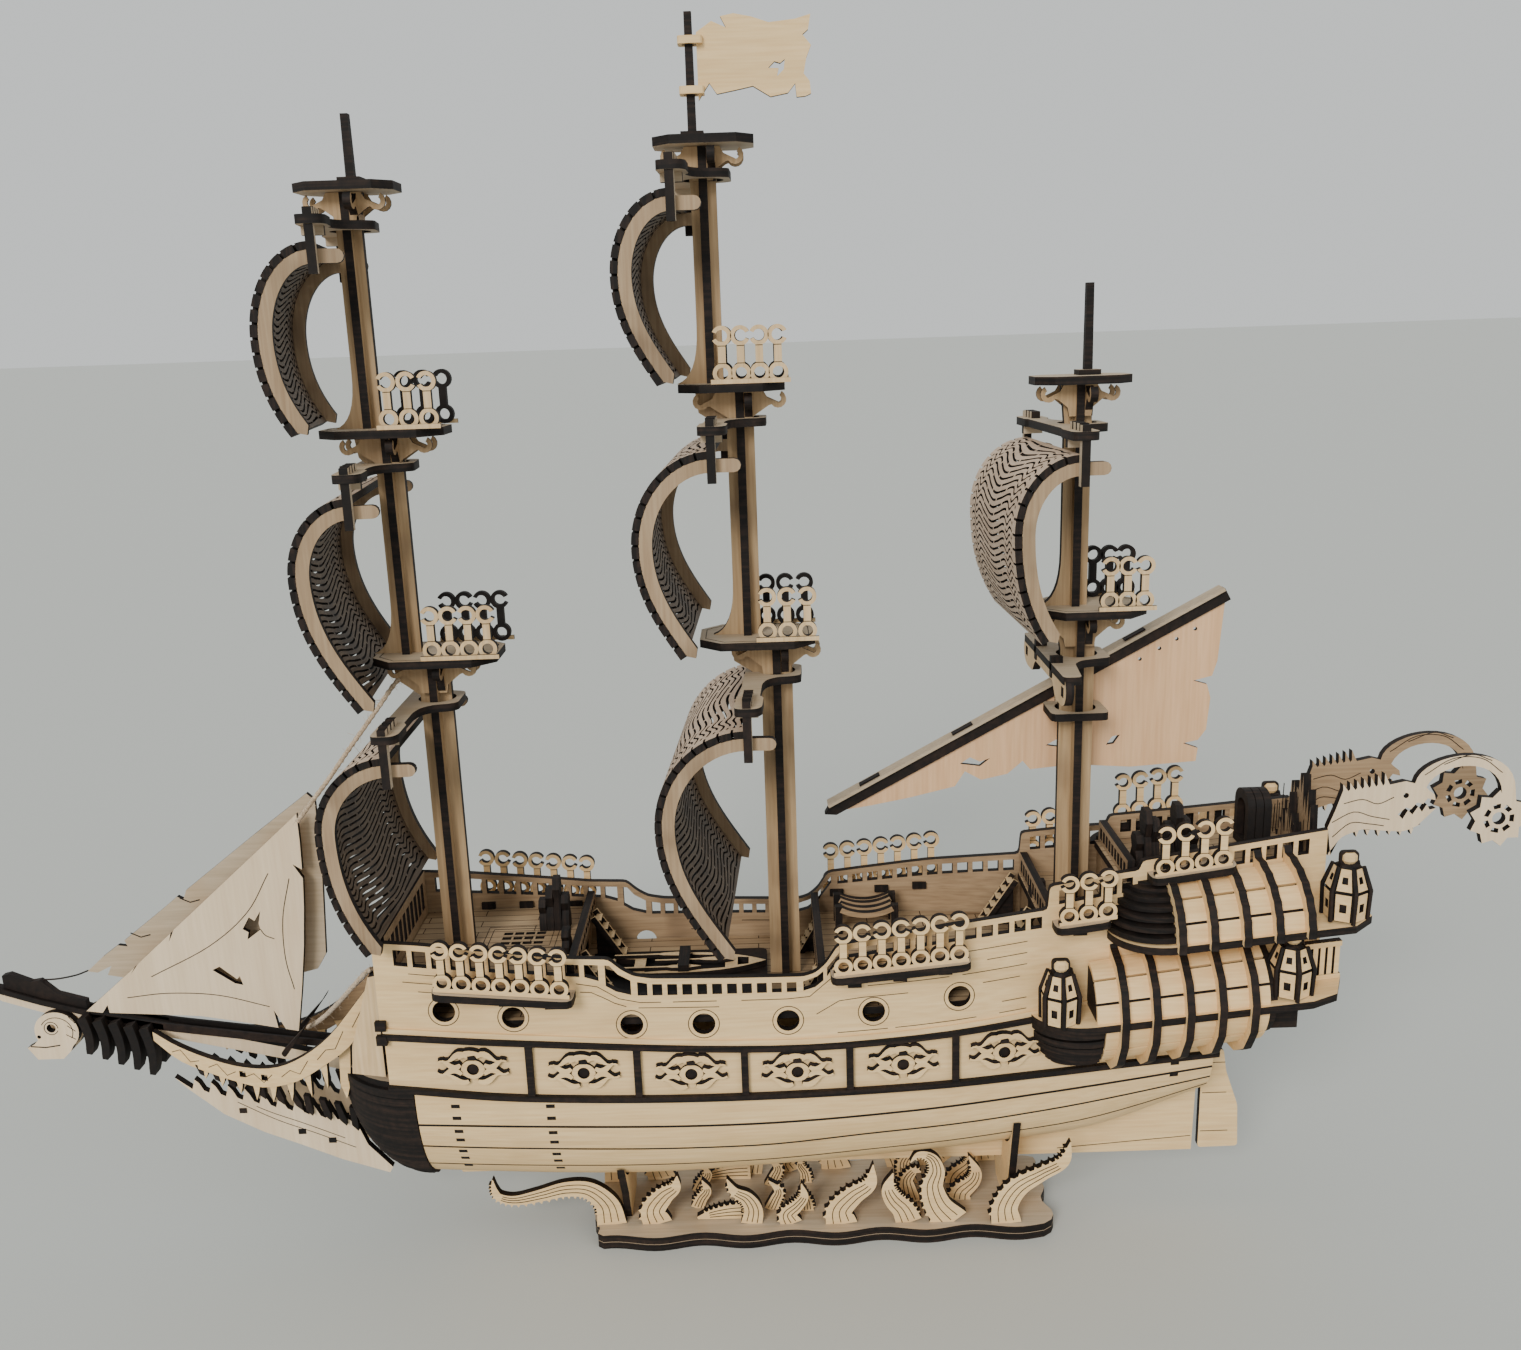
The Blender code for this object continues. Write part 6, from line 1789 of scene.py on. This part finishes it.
def deck_outline(x0, x1):
    inset = PLY + GAP + 0.5
    edge = [(x, half_beam(x) - inset) for x in steps(x0, x1, 8)]
    return [(x, -y) for x, y in edge] + list(reversed(edge))


def make_decks():
    """Planked decks; the poop rises aft and the fore deck has an engraved grating."""
    piece = Piece(DECK_PLY, CHAR_Z)
    grating = []
    for column in range(4):
        for row in range(3):
            x = -127.0 + 4.5 * column
            y = HATCH_Y - 6.0 + 4.4 * row
            grating.append(rectangle(x, x + 3.7, y, y + 2.4))
    piece.sheet(deck_outline(-163.5, FORE_BREAK), on_xy, FORE_DECK - PLY, FORE_DECK, grating)
    for reach in (0.0, 2.2):
        frame_line = rectangle(-134.0 + reach, -104.5 - reach, HATCH_Y - 10.0 + reach, HATCH_Y + 10.5 - reach)
        piece.score(frame_line + frame_line[:1], on_xy, FORE_DECK, SCORE, 0.4)
    piece.make("fore_deck_planks", HULL, ["fore_deck"])
    for node, x0, x1, level in (("waist_deck", -163.5, 158.0, WAIST_DECK),
                                ("quarter_deck", QUARTER_BREAK, 191.0, QUARTER_DECK)):
        deck = Piece(DECK_PLY, CHAR_Z)
        deck.sheet(deck_outline(x0, x1), on_xy, level - PLY, level)
        deck.make(f"{node}_planks", HULL, [node])
    half = half_beam(MIZZEN_BREAK + 2.5) - PLY - GAP - 0.3
    mizzen = Piece(DECK_PLY, CHAR_Z, SHADED_PLY)
    mizzen.sheet(deck_outline(MIZZEN_BREAK, POOP_BREAK - GAP), on_xy, MIZZEN_DECK - PLY, MIZZEN_DECK)
    mizzen.sheet(rectangle(-half, half, QUARTER_DECK + GAP, MIZZEN_DECK - PLY), on_yz, MIZZEN_BREAK + 1.0,
                 MIZZEN_BREAK + 1.0 + PLY, face=2)
    mizzen.make("mizzen_deck_planks", HULL, ["mizzen_deck"])
    poop = Piece(DECK_PLY, CHAR_Z, SHADED_PLY)
    half = half_beam(POOP_BREAK + 2.5) - PLY - GAP - 0.3

    def rising(u, v, w):
        return (u, v, w + POOP_SLOPE * (u - POOP_BREAK))
    poop.sheet(deck_outline(POOP_BREAK, 191.0), rising, POOP_DECK - PLY, POOP_DECK)
    poop.sheet(rectangle(-half, half, MIZZEN_DECK - PLY + GAP, POOP_DECK - PLY), on_yz, POOP_BREAK + 1.0,
               POOP_BREAK + 1.0 + PLY, face=2)
    poop.make("poop_deck_planks", HULL, ["poop_deck"])


def balustrade(piece, x, half, foot, top, bars):
    """Board across the deck with a row of openings; it stands from foot to top."""
    pitch = 2 * (half - 2.0) / bars
    holes = [rectangle(-half + 2.0 + pitch * k + 0.7, -half + 2.0 + pitch * (k + 1) - 0.7, foot + 1.6,
                       top - 2.2) for k in range(bars)]
    piece.sheet(rectangle(-half, half, foot, top), on_yz, x, x + PLY, holes)


def ladder(piece, y0, y1, foot, head, treads):
    """Steep ladder: two slanting stringers with treads between them and a dark side."""
    (x0, z0), (x1, z1) = foot, head
    start, end = Vector(foot), Vector(head)
    up = Vector((z0 - z1, x1 - x0)).normalized()
    up = up if up.y > 0 else -up
    corners = [start + up * 0.2, end + up * 0.2, end - up * 2.2, start - up * 2.2]
    outline = [(u, max(v, z0 + 0.05)) for u, v in corners]
    for y in (y0, y1 - 1.2):
        piece.sheet(outline, on_xz, y, y + 1.2, face=2, edge=0)
    for k in range(treads):
        share = (k + 0.5) / treads
        x, z = x0 + (x1 - x0) * share, z0 + (z1 - z0) * share
        piece.sheet(rectangle(x - 1.3, x + 1.3, y0 + 1.2, y1 - 1.2), on_xy, z - 0.9, z - 0.1, face=0)
    side_board = [(x0 + (x1 - x0) * 0.25, z0 + 0.05), (x1, z1 - 3.0), (x1, z0 + 0.05)]
    piece.sheet(side_board, on_xz, y0 + 1.6, y1 - 1.6, face=2, edge=2)


def upright_plates(piece, x, y, floor, heights, depth=7.0):
    """Charred plates standing side by side fore and aft, as bitts and capstans are built."""
    for k, height in enumerate(heights):
        left = x + 3.1 * k
        crown = [(y + depth / 2, floor + height * 0.8), (y + depth * 0.28, floor + height),
                 (y - depth * 0.28, floor + height), (y - depth / 2, floor + height * 0.8)]
        neck = [(y - depth * 0.3, floor + height * 0.55), (y - depth / 2, floor + height * 0.3)]
        outline = [(y - depth / 2, floor), (y + depth / 2, floor), (y + depth / 2, floor + height * 0.3),
                   (y + depth * 0.3, floor + height * 0.55)] + crown + neck
        piece.sheet(outline, on_yz, left, left + 2.9, face=2)


def make_bulkheads():
    """Bow and break boards, with the balustrades that stand on them."""
    bow = Piece(SHADED_PLY, CHAR_X, RIB_PLY)
    half = half_beam(-166.0) - PLY - GAP - 0.3
    holes = [rectangle(-half + 3.0 + 5.85 * k, -half + 7.0 + 5.85 * k, 131.5, 143.0) for k in range(10)]
    low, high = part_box("bow_bulkhead")
    # Its aft face gets the darkened finish, which is painted shade.
    bow.sheet(rectangle(-half, half, low.z / MM, 146.6), on_yz, low.x / MM, high.x / MM, holes, face=2,
              back=0)
    for z in steps(92.0, 124.0, 6):
        bow.score([(-half + 2, z), (half - 2, z)], on_yz, low.x / MM, -SCORE, 0.4)
    bow.make("bow_board", HULL, ["bow_bulkhead"])
    for node, foot, top, shift in (("fore_bulkhead", FORE_DECK + 0.1, 134.0, 2.6),
                                   ("quarter_bulkhead", top_of("quarter_bulkhead"), 130.5, -2.6)):
        low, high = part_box(node)
        board = Piece(SHADED_PLY, CHAR_X)
        half = high.y / MM
        doors = [rectangle(y - 4.5, y + 4.5, WAIST_DECK + 2.0, WAIST_DECK + 6.0) for y in (-19.0, 0.0, 19.0)]
        board.sheet(rectangle(-half, half, low.z / MM, high.z / MM), on_yz, low.x / MM, high.x / MM, doors)
        balustrade(board, low.x / MM + shift, half, foot, top, 12)
        board.make(f"{node}_board", HULL, [node])


def make_deck_fittings():
    rails = Piece(SHADED_PLY, CHAR_X, CHAR_Z)
    balustrade(rails, MIZZEN_BREAK + 0.6, half_beam(88.0) - 4.2, MIZZEN_DECK + 0.1, 149.0, 10)
    balustrade(rails, POOP_BREAK + 1.4, half_beam(120.0) - 4.2, POOP_DECK + 0.3, 163.5, 9)
    rails.make("break_rails", HULL)
    for side in SIDES:
        steps_piece = Piece(RIB_PLY, CHAR_X, CHAR_Z)
        near, far = on_side(side, 15.0, 24.0)
        ladder(steps_piece, near, far, (-78.5, WAIST_DECK), (-90.5, FORE_DECK + 3.0), 5)
        ladder(steps_piece, near, far, (-6.0, WAIST_DECK), (0.5, QUARTER_DECK + 1.0), 4)
        near, far = on_side(side, 13.0, 21.5)
        ladder(steps_piece, near, far, (69.5, QUARTER_DECK), (83.0, MIZZEN_DECK + 2.0), 6)
        steps_piece.make(f"ladders_{NAMES[side]}", HULL)
        tabs = Piece(CHAR_X, CHAR_Y)
        for x in (-138.0, -122.0, -101.0, 11.0, 30.0, 46.0):
            y = half_beam(x) - PLY
            low, high = on_side(side, y - 1.6, y)
            base = 129.4 + 0.086 * x if x > 0 else 129.3 - 0.03 * (x + 140)
            tabs.sheet(rectangle(x - 2.9, x + 2.9, base - 1.4, base + 1.4), on_xz, low, high)
        tabs.make(f"channel_tabs_{NAMES[side]}", HULL)
    bitts = Piece(SHADED_PLY, CHAR_X, CHAR_Z)
    upright_plates(bitts, -112.5, 13.0, FORE_DECK, (13.0, 18.0, 22.5, 15.0))
    upright_plates(bitts, -100.4, -8.0, FORE_DECK, (9.0,), 9.0)
    upright_plates(bitts, 84.0, 2.0, QUARTER_DECK, (12.0, 22.0, 25.0))
    for x, y, heights in ((125.5, -8.0, (14.0, 24.0, 20.0)), (139.0, -3.0, (15.0, 23.0, 17.0, 12.0))):
        upright_plates(bitts, x, y, POOP_DECK + POOP_SLOPE * (x - POOP_BREAK), heights, 9.0)
    bitts.make("bitts_and_capstans", HULL)
    arch = Piece(CHAR_X, CHAR_Y, SHADED_PLY)
    floor = POOP_DECK + POOP_SLOPE * (174.0 - POOP_BREAK)
    for layer, x in enumerate((170.6, 173.8, 177.0)):
        outline = [(-5.5, floor), (9.5, floor)] + arc((2.0, floor + 17.5), (7.5, 6.0), 0, 180, 12)
        opening = [(-2.4, floor + 3.0), (6.4, floor + 3.0)] + arc((2.0, floor + 15.5), (4.4, 4.0), 0, 180, 10)
        arch.sheet(outline, on_yz, x, x + 2.9, [opening] if layer != 1 else [])
    arch.make("poop_arch", HULL)
    bench = Piece(CHAR_Z, CHAR_X, SHADED_PLY)
    for x in (10.6, 33.6):
        for y in (10.5, 23.0):
            leg = rectangle(y, y + 3.0, QUARTER_DECK, QUARTER_DECK + 12.0)
            bench.sheet(leg, on_yz, x - 1.5, x + 1.5, face=2)
    for y in (11.0, 16.0, 21.0, 24.5):
        outer = arc((22.1, QUARTER_DECK + 31.0), 23.8, 242, 298, 12)
        inner = arc((22.1, QUARTER_DECK + 31.0), 21.6, 298, 242, 12)
        bench.sheet(outer + inner, on_xz, y - 1.4, y + 1.4, face=2, edge=0)
    bench.make("curved_rack", HULL)


def make_boat_well():
    """Dark tray in the waist with the flat parts of the ship's boat and its oars."""
    tray = Piece(CHAR_Z, CHAR_X)
    tray.sheet(rounded(rectangle(-92.0, -19.5, -18.5, 18.5), 3.0), on_xy, WAIST_DECK + 0.05, WAIST_DECK + 1.6)
    tray.make("boat_tray", HULL)
    boat = Piece(RIB_PLY, CHAR_Z, CHAR_X)
    low = WAIST_DECK + 1.7
    tip = bezier((-19.8, 1.5), (-30.0, 7.5), (-38.0, 9.8), (-52.0, 10.4), 10)
    tail = bezier((-66.0, 10.4), (-76.0, 9.8), (-82.0, 8.0), (-86.0, 4.0), 8)
    upper = tip + tail
    outline = upper + [(u, 3.0 - v) for u, v in reversed(upper)]
    hollows = []
    for u0, u1, reach in ((-27.0, -31.5, 3.6), (-36.5, -52.0, 7.0), (-56.0, -69.0, 7.6), (-73.5, -81.5, 5.0)):
        hollows.append([(u0, 1.5 - reach * 0.8), (u1, 1.5 - reach), (u1, 1.5 + reach),
                        (u0, 1.5 + reach * 0.8)])
    boat.sheet(outline, on_xy, low, low + 2.8, hollows)
    for y, tip_x in ((6.4, -50.0), (1.0, -33.0), (-5.0, -46.0)):
        half = [(tip_x - 6.0, 1.7), (tip_x - 12.0, 1.2), (tip_x - 14.0, 0.5), (tip_x - 32.0, 0.5)]
        blade = [(tip_x, y)] + [(u, y + v) for u, v in half] + [(u, y - v) for u, v in reversed(half)]
        boat.sheet(blade, on_xy, low + 2.9, low + 4.4)
    boat.sheet(rectangle(-55.4, -51.0, -7.0, 11.0), on_xy, low + 2.9, low + 5.6, face=2)
    boat.make("ships_boat", HULL)


# ---------------------------------------------------------------- the whole ship


make_camera()
make_floor()
make_lights()
make_twine("fore_stay", FORE_STAY, "fore_stay_twine", 3)
make_twine("head_lashing", HEAD_LASHING, "head_lashing_twine", 5)
for sail in SAILS:
    make_skin(sail)
    make_ribs(sail)
    make_yard(sail)
for mast in MASTS:
    make_mast(mast)
for node in TOPS:
    make_top(node)
for side in SIDES:
    make_upper_side(side)
    make_channels(side)
    make_panel_band(side)
    make_planking(side)
    make_gallery(side)
    make_head_rail(side)
    make_serpent(side)
make_cutwater()
make_bow_nose()
make_bowsprit()
make_figurehead()
make_head_posts()
make_stern_board()
make_outer_jib()
make_inner_jib()
make_lateen()
make_crossjack()
make_flag()
make_stand()
make_decks()
make_bulkheads()
make_deck_fittings()
make_boat_well()
